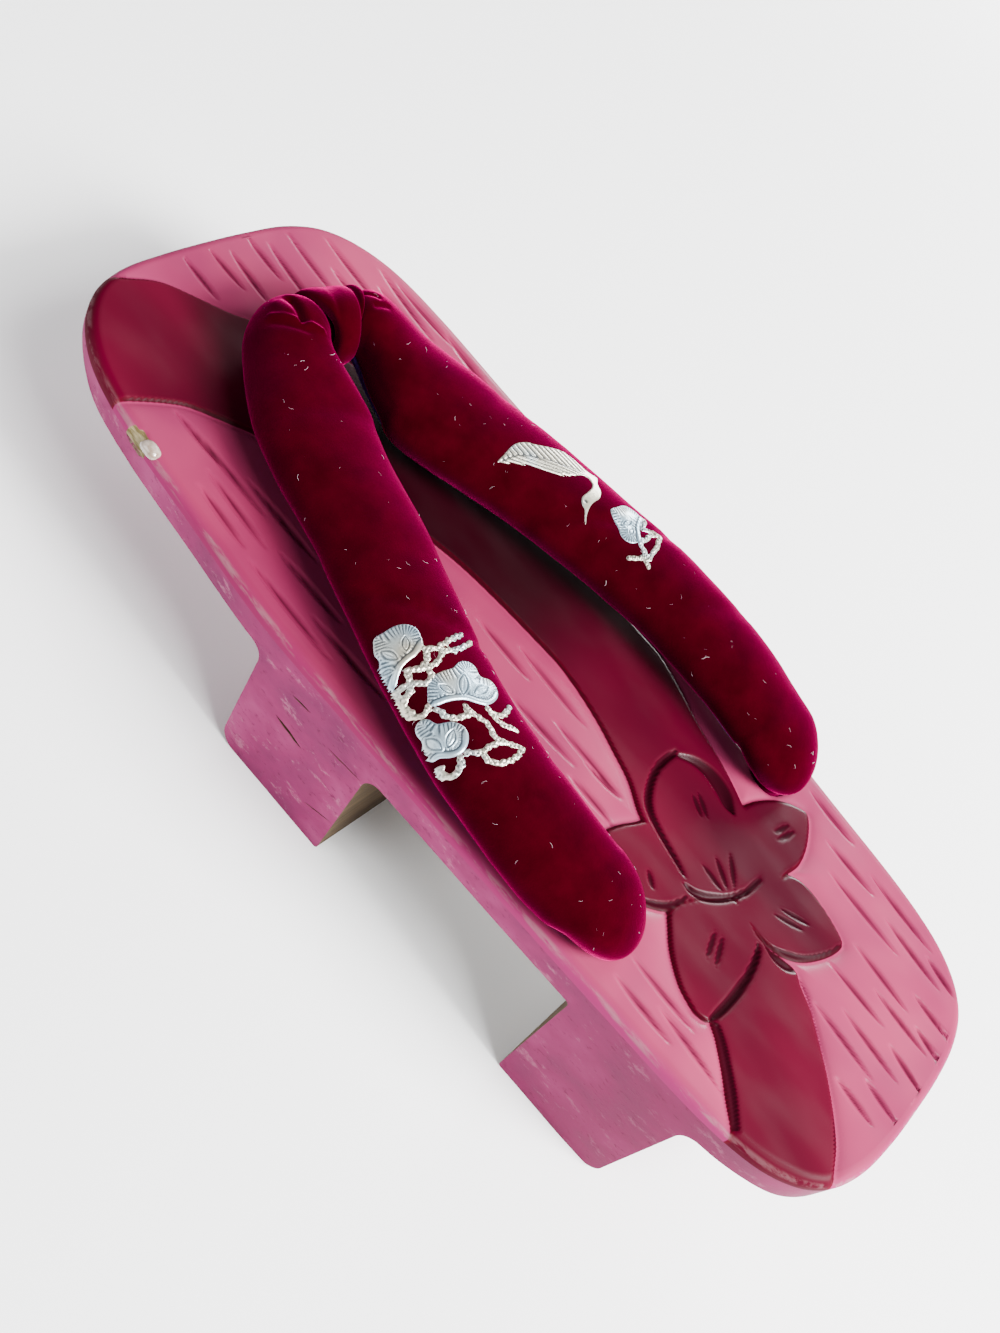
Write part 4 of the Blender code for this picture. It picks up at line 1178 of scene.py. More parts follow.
# Silk velvet, woven and brushed: almost black red face on, and a crimson glow where the pile is
# seen from the side. Its nap is drawn 0.35 mm wide, coarser than real pile, so that it shows
velvet, tree = new_material("crushed_crimson_velvet")
pile = grain(tree, 6.0, detail=3.0, seed=21.0)
nap = grain(tree, 0.35, detail=3.0, roughness=0.7, seed=22.0)
colour = add_node(
    tree, "ShaderNodeValToRGB", {"Fac": pile}, stops=((0.3, "#220003"), (0.7, "#2E0006")),
)
height = add_node(tree, "ShaderNodeMath", {0: nap, 1: pile}, operation="ADD")
bump = add_node(tree, "ShaderNodeBump", {"Height": height, "Strength": 0.35, "Distance": 0.00025})
surface(tree, {
    "Base Color": colour, "Roughness": 1.0, "Specular IOR Level": 0.0, "Sheen Weight": 1.0,
    "Sheen Roughness": 0.34, "Sheen Tint": "#E0007C", "Normal": bump,
})

# Plain cotton lining: matte violet with fine ribs across the strap, drawn 0.6 mm apart so that
# they show
THREAD_SPACING_MM = 0.6
violet, tree = new_material("plain_woven_violet_cotton")
place = add_node(tree, "ShaderNodeTexCoord", out="Object")
weave = add_node(
    tree, "ShaderNodeTexWave",
    {"Vector": place, "Scale": 1000 / THREAD_SPACING_MM / math.tau, "Distortion": 0.6},
    out="Fac", wave_type="BANDS", bands_direction="Y",
)
colour = overlay(tree, "#2B1160", "#3A1A78", weave)
bump = add_node(tree, "ShaderNodeBump", {"Height": weave, "Strength": 0.3, "Distance": 0.0002})
surface(tree, {
    "Base Color": colour, "Roughness": 0.8, "Sheen Weight": 0.4, "Sheen Roughness": 0.4,
    "Sheen Tint": "#8C50FF", "Normal": bump,
})

strap = make_strap(velvet, violet)
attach(strap, "root")
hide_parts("strap")

# Toe loop. A folded strip of the same velvet that comes up from the front hole, passes over the
# pinched straps and goes down again; it fans out in front, with one seam and soft folds.
LOOP_THICKNESS = 0.0036
LOOP_LEG_WIDTH = 0.0072
LOOP_GAP = 0.00045
LEG_DEPTH = 0.0068
LEG_SHARES = (1.0, 0.5, -0.08)
LOOP_TURNS = (-38.0, -15.0, 10.0, 35.0, 62.0, 90.0)
LOOP_SIDES = 72
LOOP_STEPS = 12
LOOP_FLATNESS = 0.48
# Folds along the loop: place to the right (mm), width, depth; a raised one is below nought
LOOP_FOLDS = ((3.3, 0.45, 0.80), (4.9, 0.90, -0.45), (-2.2, 0.80, 0.30), (0.6, 1.2, -0.20))
FOLD_SLANT = 0.12


def make_toe_loop(velvet):
    half = LOOP_THICKNESS / 2
    ring_radius = PINCH_RADIUS + LOOP_GAP + half
    spread = half + FIT_GAP / 2
    mouth = top_height(FRONT_Y)
    narrow = LOOP_LEG_WIDTH / 2
    path = [(spread, mouth - share * LEG_DEPTH, 0.0) for share in LEG_SHARES]
    for degrees in LOOP_TURNS:
        angle = math.radians(degrees)
        height = mouth + PINCH_RISE + ring_radius * math.sin(angle)
        path.append((ring_radius * math.cos(angle), height, degrees))
    rows = []
    for side, half_path in ((1.0, path), (-1.0, path[-2::-1])):
        for out, height, degrees in half_path:
            wide = loop_half_width(side * out)
            if height < mouth + PINCH_RADIUS:
                wide = min(wide, narrow)
            across = side * half * math.cos(math.radians(degrees))
            up = half * math.sin(math.radians(degrees))
            rows.append((0.0, FRONT_Y + side * out, height, wide, 0.0, 0.0, 0.0, across, up))
    rows = smooth_rows(rows, LOOP_STEPS)
    angles = np.arange(LOOP_SIDES) * math.tau / LOOP_SIDES
    flat = np.sign(np.cos(angles)) * np.abs(np.cos(angles)) ** LOOP_FLATNESS
    tall = np.sign(np.sin(angles)) * np.abs(np.sin(angles)) ** LOOP_FLATNESS
    centre, across, upward = rows[:, None, 0:3], rows[:, None, 3:6], rows[:, None, 6:9]
    points = (centre + across * flat[None, :, None] + upward * tall[None, :, None]).reshape(-1, 3)
    centres = np.repeat(rows[:, :3], LOOP_SIDES, axis=0)
    up = np.repeat(rows[:, 6:9], LOOP_SIDES, axis=0)
    up /= np.linalg.norm(up, axis=1)[:, None]
    x = points[:, 0] * 1000
    outer = np.clip(np.tile(np.sin(angles), len(rows)) * 3, 0, 1)
    slanted = x - FOLD_SLANT * (points[:, 1] - FRONT_Y) * 1000
    folds = sum(depth * np.exp(-((slanted - place) / width) ** 2) for place, width, depth in LOOP_FOLDS)
    high = np.clip((points[:, 2] - mouth - 0.004) / 0.004, 0, 1)
    points -= up * (folds / 1000 * outer * high)[:, None]
    return make_object("velvet_toe_loop", settled(points), tube_faces(len(rows), LOOP_SIDES), velvet)


toe_loop = make_toe_loop(velvet)
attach(toe_loop, "root")
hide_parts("toe_loop")

# Cord knots. Twisted hemp cord, tied in a simple round knot under each hole so that it can't
# be pulled through, with its end standing up in the hole.
CORD_RADIUS = 0.0017
LAY_LENGTH = 0.0055
CORD_SIDES = 18
# The knot is three loops, left open where the cord leaves them; its middle above the node's
# lowest point, and how far the loops pass over and under each other
KNOT_TIGHTNESS = 0.0037
KNOT_POINTS = 96
KNOT_SHARE = 0.93
KNOT_MIDDLE = 0.0036
KNOT_WAVE = 0.0015
# The end stands up from this far above the knot's middle to just under the node's highest point
STEM_START = 0.0035
STEM_STEP = 0.0010
STEM_END = 0.0005
# A section of the cord: lobes for each full turn, their height, and the waist between them
LOBE_TURNS = 1.5
LOBE_HEIGHT = 0.3
LOBE_WAIST = 0.74
KNOTS = (("front_knot", HOLES[0]), ("rear_knot_left", HOLES[2]), ("rear_knot_right", HOLES[1]))


def cord_tree(material):
    """A three-strand cord along a curve, with its radius and its lay as inputs."""
    tree = bpy.data.node_groups.new("three_strand_cord", "GeometryNodeTree")
    tree.interface.new_socket("Path", in_out="INPUT", socket_type="NodeSocketGeometry")
    for name in ("Cord radius", "Lay length"):
        tree.interface.new_socket(name, in_out="INPUT", socket_type="NodeSocketFloat")
    tree.interface.new_socket("Cord", in_out="OUTPUT", socket_type="NodeSocketGeometry")
    entry = tree.nodes.new("NodeGroupInput").outputs
    line = add_node(tree, "GeometryNodeMeshToCurve", {"Mesh": entry["Path"]})
    passed = add_node(tree, "GeometryNodeSplineParameter", out="Length")
    turns = add_node(tree, "ShaderNodeMath", {0: passed, 1: entry["Lay length"]}, operation="DIVIDE")
    tilt = add_node(tree, "ShaderNodeMath", {0: turns, 1: math.tau}, operation="MULTIPLY")
    line = add_node(tree, "GeometryNodeSetCurveTilt", {"Curve": line, "Tilt": tilt})
    ring = {"Resolution": CORD_SIDES, "Radius": entry["Cord radius"]}
    ring = add_node(tree, "GeometryNodeCurvePrimitiveCircle", ring, mode="RADIUS")
    place = add_node(tree, "GeometryNodeInputPosition")
    apart = add_node(tree, "ShaderNodeSeparateXYZ", {"Vector": place}).node.outputs
    angle = add_node(tree, "ShaderNodeMath", {0: apart["Y"], 1: apart["X"]}, operation="ARCTAN2")
    lobes = add_node(tree, "ShaderNodeMath", {0: angle, 1: LOBE_TURNS}, operation="MULTIPLY")
    lobes = add_node(tree, "ShaderNodeMath", {0: lobes}, operation="COSINE")
    lobes = add_node(tree, "ShaderNodeMath", {0: lobes}, operation="ABSOLUTE")
    size = {0: lobes, 1: LOBE_HEIGHT, 2: LOBE_WAIST}
    size = add_node(tree, "ShaderNodeMath", size, operation="MULTIPLY_ADD")
    place = add_node(tree, "ShaderNodeVectorMath", {0: place, "Scale": size}, operation="SCALE")
    ring = add_node(tree, "GeometryNodeSetPosition", {"Geometry": ring, "Position": place})
    swept = {"Curve": line, "Profile Curve": ring, "Fill Caps": True}
    cord = add_node(tree, "GeometryNodeCurveToMesh", swept)
    cord = add_node(tree, "GeometryNodeRealizeInstances", {"Geometry": cord})
    cord = add_node(tree, "GeometryNodeSetMaterial", {"Geometry": cord, "Material": material})
    add_node(tree, "NodeGroupOutput", {"Cord": cord})
    return tree


def grow_from(tree, name, source, **values):
    """Runs a tree of nodes on a mesh and keeps what it makes as a plain mesh object."""
    step = source.modifiers.new(tree.name, "NODES")
    step.node_group = tree
    for socket in tree.interface.items_tree:
        key = socket.name.replace(" ", "_")
        if key in values:
            step[socket.identifier] = values[key]
    seen = source.evaluated_get(bpy.context.evaluated_depsgraph_get())
    mesh = bpy.data.meshes.new_from_object(seen)
    source.modifiers.clear()
    made = bpy.data.objects.new(name, mesh)
    bpy.context.scene.collection.objects.link(made)
    return made


# Hemp cord, twisted and undyed: dull straw brown with lighter and darker fibres
hemp, tree = new_material("twisted_hemp_cord")
strands = grain(tree, 0.5, (1.0, 1.0, 0.4), detail=4.0, seed=31.0)
colour = add_node(
    tree, "ShaderNodeValToRGB", {"Fac": strands}, stops=((0.3, "#6E5A3A"), (0.7, "#B79E74")),
)
bump = add_node(tree, "ShaderNodeBump", {"Height": strands, "Strength": 0.5, "Distance": 0.0002})
surface(tree, {
    "Base Color": colour, "Roughness": 0.92, "Specular IOR Level": 0.2, "Sheen Weight": 0.3,
    "Normal": bump,
})

cord_shape = cord_tree(hemp)
for node, (x, y) in KNOTS:
    low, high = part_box(node)
    knot_middle = low.z + KNOT_MIDDLE
    t = np.linspace(0.0, math.tau, KNOT_POINTS, endpoint=False)
    trefoil = np.stack([
        x + KNOT_TIGHTNESS / 3 * (np.sin(t) + 2 * np.sin(2 * t)),
        y + KNOT_TIGHTNESS / 3 * (np.cos(t) - 2 * np.cos(2 * t)),
        knot_middle - KNOT_WAVE * np.sin(3 * t),
    ], axis=1)
    trefoil = trefoil[:int(KNOT_POINTS * KNOT_SHARE)]
    stem = np.linspace(trefoil[-1], (x, y, knot_middle + STEM_START), 6)[1:]
    up = np.linspace((x, y, knot_middle + STEM_START + STEM_STEP), (x, y, high.z - STEM_END), 8)
    line = np.concatenate([trefoil, stem, up]).tolist()
    path_mesh = bpy.data.meshes.new("cord_path")
    path_mesh.from_pydata(line, [(i, i + 1) for i in range(len(line) - 1)], [])
    path = bpy.data.objects.new("cord_path", path_mesh)
    bpy.context.scene.collection.objects.link(path)
    knot = grow_from(
        cord_shape, node.replace("knot", "cord_knot"), path,
        Cord_radius=CORD_RADIUS, Lay_length=LAY_LENGTH,
    )
    knot.data.shade_smooth()
    bpy.data.objects.remove(path, do_unlink=True)
    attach(knot, "root")
    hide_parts(node)

# Foil. Stamped silver foil pressed on to the velvet: three pine sprays on their twigs on the
# left strap, a flying crane with one small spray on the right. It is thin and embossed with
# needles, leaves and feathers; the sprays are tinted pale blue, the twigs and crane cream.
FOIL_STEP = 0.135
FOIL_LIFT = 0.16
FOIL_SKIRT = 0.45
NEEDLE_SPACING = 0.68
LEAF_FULLNESS = 0.42
TWIG_HALF_WIDTH = 0.56
# Each spray: its outline, its lower rim and its leaves, each from tip to foot
LEFT_SPRAYS = (
    (
        (
            (-39.6, 16.2), (-38.7, 17.4), (-37.2, 17.2), (-35.8, 17.1), (-34.3, 16.7), (-32.9, 15.7),
            (-32.2, 14.2), (-32.6, 12.6), (-33.4, 11.1), (-35.6, 10.2), (-37.3, 10.1), (-38.7, 9.9),
            (-40.2, 9.0), (-41.2, 8.0), (-42.0, 7.6), (-42.4, 9.5), (-41.6, 11.6), (-40.5, 13.3),
            (-40.2, 14.9),
        ),
        ((-33.4, 11.1), (-35.6, 10.2), (-37.3, 10.1), (-38.7, 9.9), (-40.2, 9.0), (-41.2, 8.0)),
        (((-34.9, 14.3), (-36.6, 11.9)), ((-39.4, 14.6), (-38.6, 11.6)), ((-41.4, 11.4), (-40.2, 10.4))),
    ),
    (
        (
            (-39.9, 1.3), (-38.8, 3.2), (-37.6, 4.6), (-36.0, 5.2), (-33.8, 5.0), (-31.7, 4.5),
            (-29.7, 4.8), (-27.9, 4.2), (-26.9, 2.7), (-27.3, 0.6), (-25.5, -1.0), (-25.4, -2.8),
            (-26.5, -4.2), (-28.6, -4.8), (-30.8, -4.5), (-32.4, -3.2), (-33.7, -1.8), (-35.4, -0.8),
            (-37.1, -0.1), (-38.9, 0.4),
        ),
        (
            (-26.5, -4.2), (-28.6, -4.8), (-30.8, -4.5), (-32.4, -3.2), (-33.7, -1.8),
            (-35.4, -0.8), (-37.1, -0.1), (-38.9, 0.4),
        ),
        (((-30.6, 2.4), (-33.6, -0.6)), ((-36.2, 3.3), (-35.0, 0.7)), ((-27.6, -1.9), (-31.4, -1.5))),
    ),
    (
        (
            (-43.9, -3.1), (-43.7, -1.5), (-43.3, -0.4), (-42.5, 0.1), (-41.5, -0.5), (-40.9, -2.2),
            (-39.8, -2.9), (-38.7, -3.6), (-37.7, -5.2), (-37.8, -7.0), (-39.3, -8.6), (-41.1, -9.1),
            (-42.6, -8.6), (-43.9, -7.4), (-44.6, -7.1), (-44.6, -5.0),
        ),
        ((-37.8, -7.0), (-39.3, -8.6), (-41.1, -9.1), (-42.6, -8.6), (-43.9, -7.4)),
        (((-43.4, -3.2), (-42.9, -6.4)), ((-39.4, -4.8), (-42.0, -6.8))),
    ),
)
LEFT_TWIGS = (
    ((-33.6, 10.3), (-31.6, 9.3), (-28.3, 9.3), (-24.6, 9.2)),
    ((-31.1, 8.6), (-29.0, 7.3), (-25.8, 6.9), (-23.4, 7.1)),
    ((-33.6, 10.3), (-34.6, 8.6), (-36.7, 7.7), (-38.7, 8.9)),
    ((-31.2, 7.9), (-33.6, 7.0), (-35.8, 7.2), (-37.8, 8.4), (-39.1, 8.6)),
    ((-38.7, 8.9), (-39.7, 6.9), (-41.3, 6.9), (-42.1, 6.9)),
    ((-35.8, 6.5), (-36.1, 5.3), (-37.9, 5.0), (-39.5, 6.2), (-40.8, 5.2), (-42.0, 4.8), (-42.7, 3.2)),
    ((-42.1, 6.9), (-42.4, 5.2), (-42.7, 3.2)),
    ((-42.6, 2.8), (-42.3, 0.9), (-40.8, 0.6), (-39.9, 1.3)),
    ((-39.4, -0.2), (-38.8, -2.1), (-37.3, -3.6), (-35.3, -4.1), (-34.6, -2.7)),
    (
        (-35.1, -3.3), (-33.8, -5.9), (-33.2, -7.6), (-33.8, -9.9), (-33.3, -11.6), (-31.6, -13.4),
        (-30.2, -14.8),
    ),
    ((-30.9, -5.2), (-30.9, -7.0), (-30.5, -9.0), (-28.5, -11.3)),
    ((-30.9, -7.0), (-28.5, -7.7), (-25.5, -7.1)),
    ((-30.2, -14.8), (-33.0, -15.4), (-35.8, -14.9), (-37.8, -13.3), (-38.3, -11.1), (-40.2, -9.5)),
    ((-38.3, -11.1), (-36.0, -11.1), (-33.3, -11.6)),
    ((-41.4, -9.5), (-42.4, -10.9), (-44.0, -11.4), (-44.9, -10.3), (-44.6, -8.8)),
)
RIGHT_SPRAYS = (
    (
        (
            (29.3, 15.6), (31.4, 15.4), (33.9, 15.0), (35.5, 13.6), (36.2, 11.7), (35.9, 10.4),
            (33.7, 9.3), (31.4, 7.7), (30.4, 6.5), (28.3, 6.7), (27.0, 7.9), (26.8, 9.6),
            (27.5, 11.2), (28.1, 12.5), (28.6, 14.3),
        ),
        ((35.9, 10.4), (33.7, 9.3), (31.4, 7.7), (30.4, 6.5)),
        (((28.8, 8.8), (30.8, 9.6)), ((29.6, 11.4), (32.2, 11.2))),
    ),
)
RIGHT_TWIGS = (
    ((35.9, 10.4), (36.3, 9.8), (33.6, 8.5), (35.5, 7.0), (36.6, 4.9)),
    ((36.6, 4.9), (34.7, 6.0), (31.3, 6.1), (29.9, 6.3), (29.0, 4.0), (27.3, 1.0)),
    ((35.7, 4.8), (32.8, 3.3), (30.1, 2.6), (28.5, 2.2)),
    ((29.0, 2.8), (26.8, 3.6), (25.0, 4.6)),
)
CRANE = (
    (13.1, 36.7), (15.2, 37.2), (17.8, 37.9), (20.0, 37.9), (22.2, 37.1), (23.6, 36.0), (25.9, 34.6),
    (28.5, 33.0), (30.1, 31.8), (31.1, 29.6), (31.8, 27.2), (32.6, 24.9), (33.6, 23.4), (31.7, 21.9),
    (30.7, 20.1), (28.8, 18.9), (26.9, 18.8), (25.1, 18.4), (23.4, 17.4), (21.3, 15.4), (22.1, 16.7),
    (23.4, 18.3), (23.7, 19.8), (24.9, 21.0), (26.9, 21.3), (28.9, 21.7), (30.2, 22.5), (30.6, 24.0),
    (29.7, 25.2), (26.6, 26.0), (23.9, 27.2), (21.8, 29.0), (19.9, 30.9), (18.0, 32.9), (15.9, 34.4),
    (13.8, 35.9),
)
CRANE_EYE = (24.9, 19.8)
WING_MIDDLE = ((13.5, 36.4), (18.0, 35.6), (22.5, 32.6), (27.0, 28.6), (30.5, 25.6))
WING_ENDS_AHEAD = 25.0
FEATHER_SPACING = 1.15
FEATHER_TIPS = 0.45


def bumps(places, size, seed):
    """Small uneven bumps in plan, from -1 to 1."""
    return soft_waves(np.column_stack([places, np.zeros(len(places))]), size, seed) * 2.5


def spray_relief(places, outline, rim, leaves):
    """Signed distance into a spray and its relief: needles, a smooth rim and leaves."""
    edge = curve_2d(outline, 6, closed=True)
    far, _, along = distance_to(places, edge)
    into = np.where(inside(places, edge), far, -far)
    to_rim = distance_to(places, curve_2d(rim))[0]
    groove = 0.5 - 0.5 * np.cos(math.tau * along / NEEDLE_SPACING)
    needles = -0.26 * groove ** 2.0 * np.clip(1.3 - far / 1.9, 0.0, 1.0)
    relief = np.where(to_rim > 1.15, needles, 0.10 * np.sin(math.pi * np.clip(to_rim / 1.1, 0, 1)))
    relief -= 0.20 * np.exp(-((to_rim - 1.15) / 0.16) ** 2)
    for tip, foot in leaves:
        tip, foot = np.array(tip), np.array(foot)
        long = float(np.hypot(*(tip - foot))) / 2
        way = (tip - foot) / (2 * long)
        away = places - (tip + foot) / 2
        u = away @ way / long
        v = np.abs(away @ np.array([way[1], -way[0]]))
        beyond = v - LEAF_FULLNESS * long * (1 - u ** 2)
        relief = np.where((beyond < 0.45) & (np.abs(u) < 1.25), 0.08, relief)
        relief -= 0.24 * np.exp(-(beyond / 0.17) ** 2) * (np.abs(u) < 1.1)
        relief -= 0.12 * np.exp(-(v / 0.13) ** 2) * (np.abs(u) < 0.6)
    return into, relief


def twig_relief(places, twigs, seed):
    into = np.full(len(places), -1e9)
    for twig in twigs:
        into = np.maximum(into, TWIG_HALF_WIDTH - distance_to(places, curve_2d(twig, 6))[0])
    into += 0.14 * bumps(places, 1.1, seed)
    return into, 0.10 * np.clip(into / TWIG_HALF_WIDTH, 0, 1) + 0.17 * bumps(places, 0.65, seed + 1)


def crane_relief(places):
    edge = curve_2d(CRANE, 6, closed=True)
    far = distance_to(places, edge)[0]
    into = np.where(inside(places, edge), far, -far)
    middle, side, _ = distance_to(places, curve_2d(WING_MIDDLE))
    wing = smooth_share((places[:, 1] - WING_ENDS_AHEAD) / 2.0)
    upper = np.cos(math.tau * (places[:, 0] + 0.12 * places[:, 1]) / FEATHER_SPACING)
    lower = np.cos(math.tau * (places[:, 0] + 0.9 * places[:, 1]) / (0.9 * FEATHER_SPACING))
    feathers = np.where(side > 0, upper, lower)
    into -= np.where(side < 0, FEATHER_TIPS * wing * (0.5 - 0.5 * lower), 0.0) * (far < 1.2)
    relief = wing * (0.16 * np.minimum(feathers, 0.2) - 0.15 * np.exp(-(middle / 0.18) ** 2))
    relief -= 0.4 * np.exp(-(np.hypot(*(places - CRANE_EYE).T) / 0.32) ** 2)
    return into, relief


def stamp_foil(name, shapes, first_cream, low, high, strap_tree, material):
    """One embossed sheet of foil laid over the strap, from signed distances in plan (mm)."""
    xs = np.arange(low[0], high[0], FOIL_STEP)
    ys = np.arange(low[1], high[1], FOIL_STEP)
    grid = np.stack(np.meshgrid(xs, ys), axis=-1).reshape(-1, 2)

    def measure(places):
        into = np.full(len(places), -1e9)
        relief = np.zeros(len(places))
        owner = np.zeros(len(places))
        for number, shape in enumerate(shapes):
            this_into, this_relief = shape(places)
            relief = np.where(this_into > into, this_relief, relief)
            owner = np.where(this_into > into, number, owner)
            into = np.maximum(into, this_into)
        return into, relief, owner

    into = measure(grid)[0]
    wide = len(xs)
    i, j = np.meshgrid(np.arange(wide - 1), np.arange(len(ys) - 1))
    corner = (j * wide + i).ravel()
    quads = np.stack([corner, corner + 1, corner + 1 + wide, corner + wide], axis=1)
    quads = quads[(into[quads] > -0.35 * FOIL_STEP).all(axis=1)]
    used, quads = np.unique(quads, return_inverse=True)
    quads = quads.reshape(-1, 4)
    places = grid[used]
    edges = np.concatenate([quads[:, [0, 1]], quads[:, [1, 2]], quads[:, [2, 3]], quads[:, [3, 0]]])
    pairs = {(a, b) for a, b in edges.tolist()}
    border = [(a, b) for a, b in pairs if (b, a) not in pairs]
    rim = np.array(sorted({a for a, _ in border} | {b for _, b in border}))
    for _ in range(3):
        at = measure(places[rim])[0]
        nudge = 0.02
        right_of = measure(places[rim] + (nudge, 0))[0]
        ahead_of = measure(places[rim] + (0, nudge))[0]
        slope = np.stack([right_of - at, ahead_of - at], axis=1) / nudge
        slope /= np.maximum(np.hypot(*slope.T), 0.3)[:, None]
        places[rim] -= np.clip(at, -0.8 * FOIL_STEP, 0.8 * FOIL_STEP)[:, None] * slope
    into, relief, owner = measure(places)
    cream = (owner >= first_cream).astype(float)
    # painted shade: darker where the relief is pressed in
    shade = np.clip(-relief / 0.12, 0.0, 1.0) * smooth_share(into / 0.2)
    height = FOIL_LIFT * smooth_share(0.35 + into / 0.45) + relief * smooth_share(into / 0.4)
    vertices = []
    feet = []
    for (x, y), h in zip(places / 1000, height / 1000):
        hit, normal, _, _ = strap_tree.ray_cast(Vector((x, y, 0.1)), Vector((0, 0, -1)))
        if hit is None or hit.z < TOP_HEIGHT + 0.002:
            vertices.append(None)
            feet.append(None)
            continue
        vertices.append(hit + normal * max(h, 0.00005))
        feet.append(hit - normal * FOIL_SKIRT / 1000)
    good = np.array([v is not None for v in vertices])
    quads = [q for q in quads.tolist() if good[q].all()]
    pairs = {(q[k], q[(k + 1) % 4]) for q in quads for k in range(4)}
    border = [(a, b) for a, b in pairs if (b, a) not in pairs]
    order = sorted({n for q in quads for n in q})
    index = {n: k for k, n in enumerate(order)}
    points = [vertices[n] for n in order]
    faces = [[index[n] for n in q] for q in quads]
    foot = {}
    for n in sorted({a for a, _ in border}):
        foot[n] = len(points)
        points.append(feet[n])
    for a, b in sorted(border):
        faces.append([index[b], index[a], foot[a], foot[b]])
    sheet = make_object(name, points, faces, material)
    store(sheet, "pressed_shade", np.concatenate([shade[order], np.zeros(len(foot))]))
    store(sheet, "cream", np.concatenate([cream[order], np.zeros(len(foot))]))
    return sheet


# Silver foil, stamped and pressed on: bright and soft-edged in its reflections, with dull flecks
# and painted shade in the lines where it is pressed in
silver, tree = new_material("stamped_silver_foil")
cream, pressed_shade = [
    add_node(tree, "ShaderNodeAttribute", out="Fac", attribute_name=name)
    for name in ("cream", "pressed_shade")
]
tone = grain(tree, 9.0, detail=1.0, seed=41.0)
tone = add_node(tree, "ShaderNodeMath", {0: cream, 1: 0.22, 2: tone}, operation="MULTIPLY_ADD")
fleck = grain(tree, 0.5, detail=3.0, seed=43.0)
colour = add_node(
    tree, "ShaderNodeValToRGB", {"Fac": tone}, stops=((0.46, "#A8C2D2"), (0.70, "#C0BCAA")),
)
colour = overlay(tree, colour, "#77746C", fleck, (0.62, 0.74), 0.40)
# painted shade in the pressed lines and the crane's eye
colour = overlay(tree, colour, "#30353E", pressed_shade, share=0.88)
bump = add_node(tree, "ShaderNodeBump", {"Height": fleck, "Strength": 0.40, "Distance": 0.00015})
surface(tree, {"Base Color": colour, "Metallic": 0.65, "Roughness": 0.30, "Normal": bump})

strap_surface = bmesh.new()
strap_surface.from_mesh(strap.data)
strap_tree = BVHTree.FromBMesh(strap_surface)
strap_surface.free()


def sprays(rows):
    """The relief of each spray in a table."""
    return [partial(spray_relief, outline=edge, rim=rim, leaves=leaves) for edge, rim, leaves in rows]


left_shapes = sprays(LEFT_SPRAYS) + [partial(twig_relief, twigs=LEFT_TWIGS, seed=51)]
right_shapes = sprays(RIGHT_SPRAYS) + [partial(twig_relief, twigs=RIGHT_TWIGS, seed=53), crane_relief]
foils = [
    stamp_foil("pine_foil", left_shapes, 3, (-46.5, -17.0), (-22.0, 19.0), strap_tree, silver),
    stamp_foil("crane_foil", right_shapes, 1, (12.0, -0.5), (38.5, 39.5), strap_tree, silver),
]
for foil in foils:
    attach(foil, "root")

# Lint. Short pale fibres caught in the velvet's pile, mostly lying along it.
# A fibre's end lies this far to the right and ahead of its start
LINT_REACH = 0.0007
LINT_BEND = (0.0004, 0.0, 0.0002)
LINT_RADIUS = 0.000017
LINT_PER_SQUARE_METRE = 26000.0
LINT_TILT = 0.5
LINT_SMALLEST = 0.35
LINT_LARGEST = 1.3
LOOKS_UP = 0.25


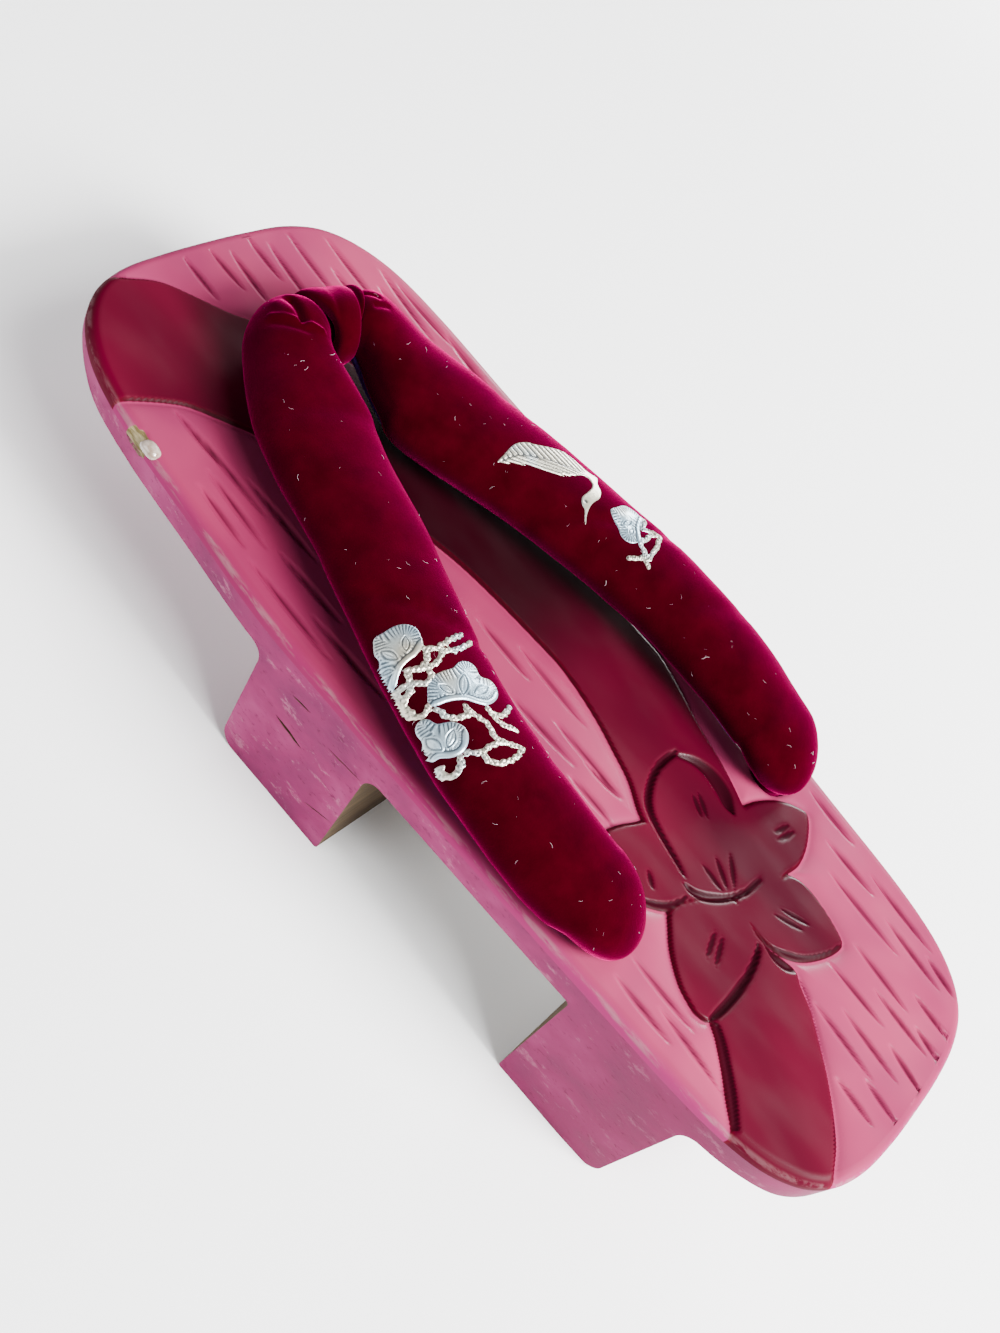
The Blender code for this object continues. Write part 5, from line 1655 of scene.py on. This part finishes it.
def lint_tree(material):
    """Scatters short bent fibres over the faces that look up."""
    tree = bpy.data.node_groups.new("caught_lint", "GeometryNodeTree")
    tree.interface.new_socket("Velvet", in_out="INPUT", socket_type="NodeSocketGeometry")
    for name in ("Fibres", "Fibre reach", "Fibre radius"):
        tree.interface.new_socket(name, in_out="INPUT", socket_type="NodeSocketFloat")
    tree.interface.new_socket("Lint", in_out="OUTPUT", socket_type="NodeSocketGeometry")
    entry = tree.nodes.new("NodeGroupInput").outputs
    normal = add_node(tree, "GeometryNodeInputNormal")
    up = add_node(tree, "ShaderNodeSeparateXYZ", {"Vector": normal}, out="Z")
    up = add_node(
        tree, "FunctionNodeCompare", {"A": up, "B": LOOKS_UP}, data_type="FLOAT",
        operation="GREATER_THAN",
    )
    spread = add_node(
        tree, "GeometryNodeDistributePointsOnFaces",
        {"Mesh": entry["Velvet"], "Selection": up, "Density": entry["Fibres"], "Seed": 4},
        distribute_method="RANDOM",
    ).node.outputs
    end = {"X": entry["Fibre reach"], "Y": entry["Fibre reach"]}
    end = add_node(tree, "ShaderNodeCombineXYZ", end)
    fibre = {"Resolution": 4, "Start": (0.0, 0.0, 0.0), "Middle": LINT_BEND, "End": end}
    fibre = add_node(tree, "GeometryNodeCurveQuadraticBezier", fibre)
    ring = {"Resolution": 3, "Radius": entry["Fibre radius"]}
    ring = add_node(tree, "GeometryNodeCurvePrimitiveCircle", ring, mode="RADIUS")
    fibre = {"Curve": fibre, "Profile Curve": ring, "Fill Caps": True}
    fibre = add_node(tree, "GeometryNodeCurveToMesh", fibre)
    spin = {"Max": (LINT_TILT, LINT_TILT, math.tau), "Seed": 7}
    spin = add_node(tree, "FunctionNodeRandomValue", spin, data_type="FLOAT_VECTOR")
    spin = add_node(tree, "FunctionNodeEulerToRotation", {"Euler": spin})
    turned = {"Rotation": spread["Rotation"], "Rotate By": spin}
    turned = add_node(tree, "FunctionNodeRotateRotation", turned, rotation_space="LOCAL")
    size = {2: LINT_SMALLEST, 3: LINT_LARGEST, "Seed": 9}
    size = add_node(tree, "FunctionNodeRandomValue", size, out=1, data_type="FLOAT")
    lint = {"Points": spread["Points"], "Instance": fibre, "Rotation": turned, "Scale": size}
    lint = add_node(tree, "GeometryNodeInstanceOnPoints", lint)
    lint = add_node(tree, "GeometryNodeRealizeInstances", {"Geometry": lint})
    lint = add_node(tree, "GeometryNodeSetMaterial", {"Geometry": lint, "Material": material})
    add_node(tree, "NodeGroupOutput", {"Lint": lint})
    return tree


# Cotton lint: matte and pale, with a pink tint painted in for the light that the velvet round it throws
lint_finish, tree = new_material("cotton_lint")
# painted light: the pink end of the ramp stands for light from the velvet round it
colour = add_node(
    tree, "ShaderNodeValToRGB", {"Fac": grain(tree, 8.0, seed=61.0)},
    stops=((0.4, "#B98FA0"), (0.6, "#D8CDD0")),
)
surface(tree, {"Base Color": colour, "Roughness": 0.9})
lint = grow_from(
    lint_tree(lint_finish), "caught_lint", strap,
    Fibres=LINT_PER_SQUARE_METRE, Fibre_reach=LINT_REACH, Fibre_radius=LINT_RADIUS,
)
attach(lint, "root")

# Wear. A dried drop of clear lacquer hangs on the edge at the toe's left, over a chip that
# shows the bare wood.
DROP_PLACE = (-0.0440, 0.0741)
DROP_RADIUS = 0.0021
DROP_SHAPE = (0.85, 1.15, 0.62)
DROP_BULGE = 0.16
DROP_SUNK = 0.0004

# Clear lacquer, dried in a drop: milky and glassy, with a small sharp highlight
clear_drop, tree = new_material("dried_clear_lacquer")
colour = add_node(
    tree, "ShaderNodeValToRGB", {"Fac": grain(tree, 2.0, seed=71.0)},
    stops=((0.4, "#7E6C5E"), (0.6, "#A3958A")),
)
surface(tree, {
    "Base Color": colour, "Roughness": 0.08, "IOR": 1.5, "Coat Weight": 1.0, "Coat Roughness": 0.03,
})
drop_shape = bmesh.new()
bmesh.ops.create_uvsphere(drop_shape, u_segments=40, v_segments=24, radius=DROP_RADIUS)
foot = Vector((*DROP_PLACE, top_height(DROP_PLACE[1]) - DROP_SUNK))
wide, long, tall = DROP_SHAPE
for vert in drop_shape.verts:
    x, y, _ = vert.co / DROP_RADIUS
    bulge = 1 + DROP_BULGE * math.sin(3.1 * x + 1.3) * math.cos(2.3 * y)
    vert.co = Vector((vert.co.x * wide * bulge, vert.co.y * long * bulge, vert.co.z * tall)) + foot
drop = make_object("lacquer_drop", [], [], clear_drop)
drop_shape.to_mesh(drop.data)
drop_shape.free()
drop.data.shade_smooth()
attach(drop, "root")
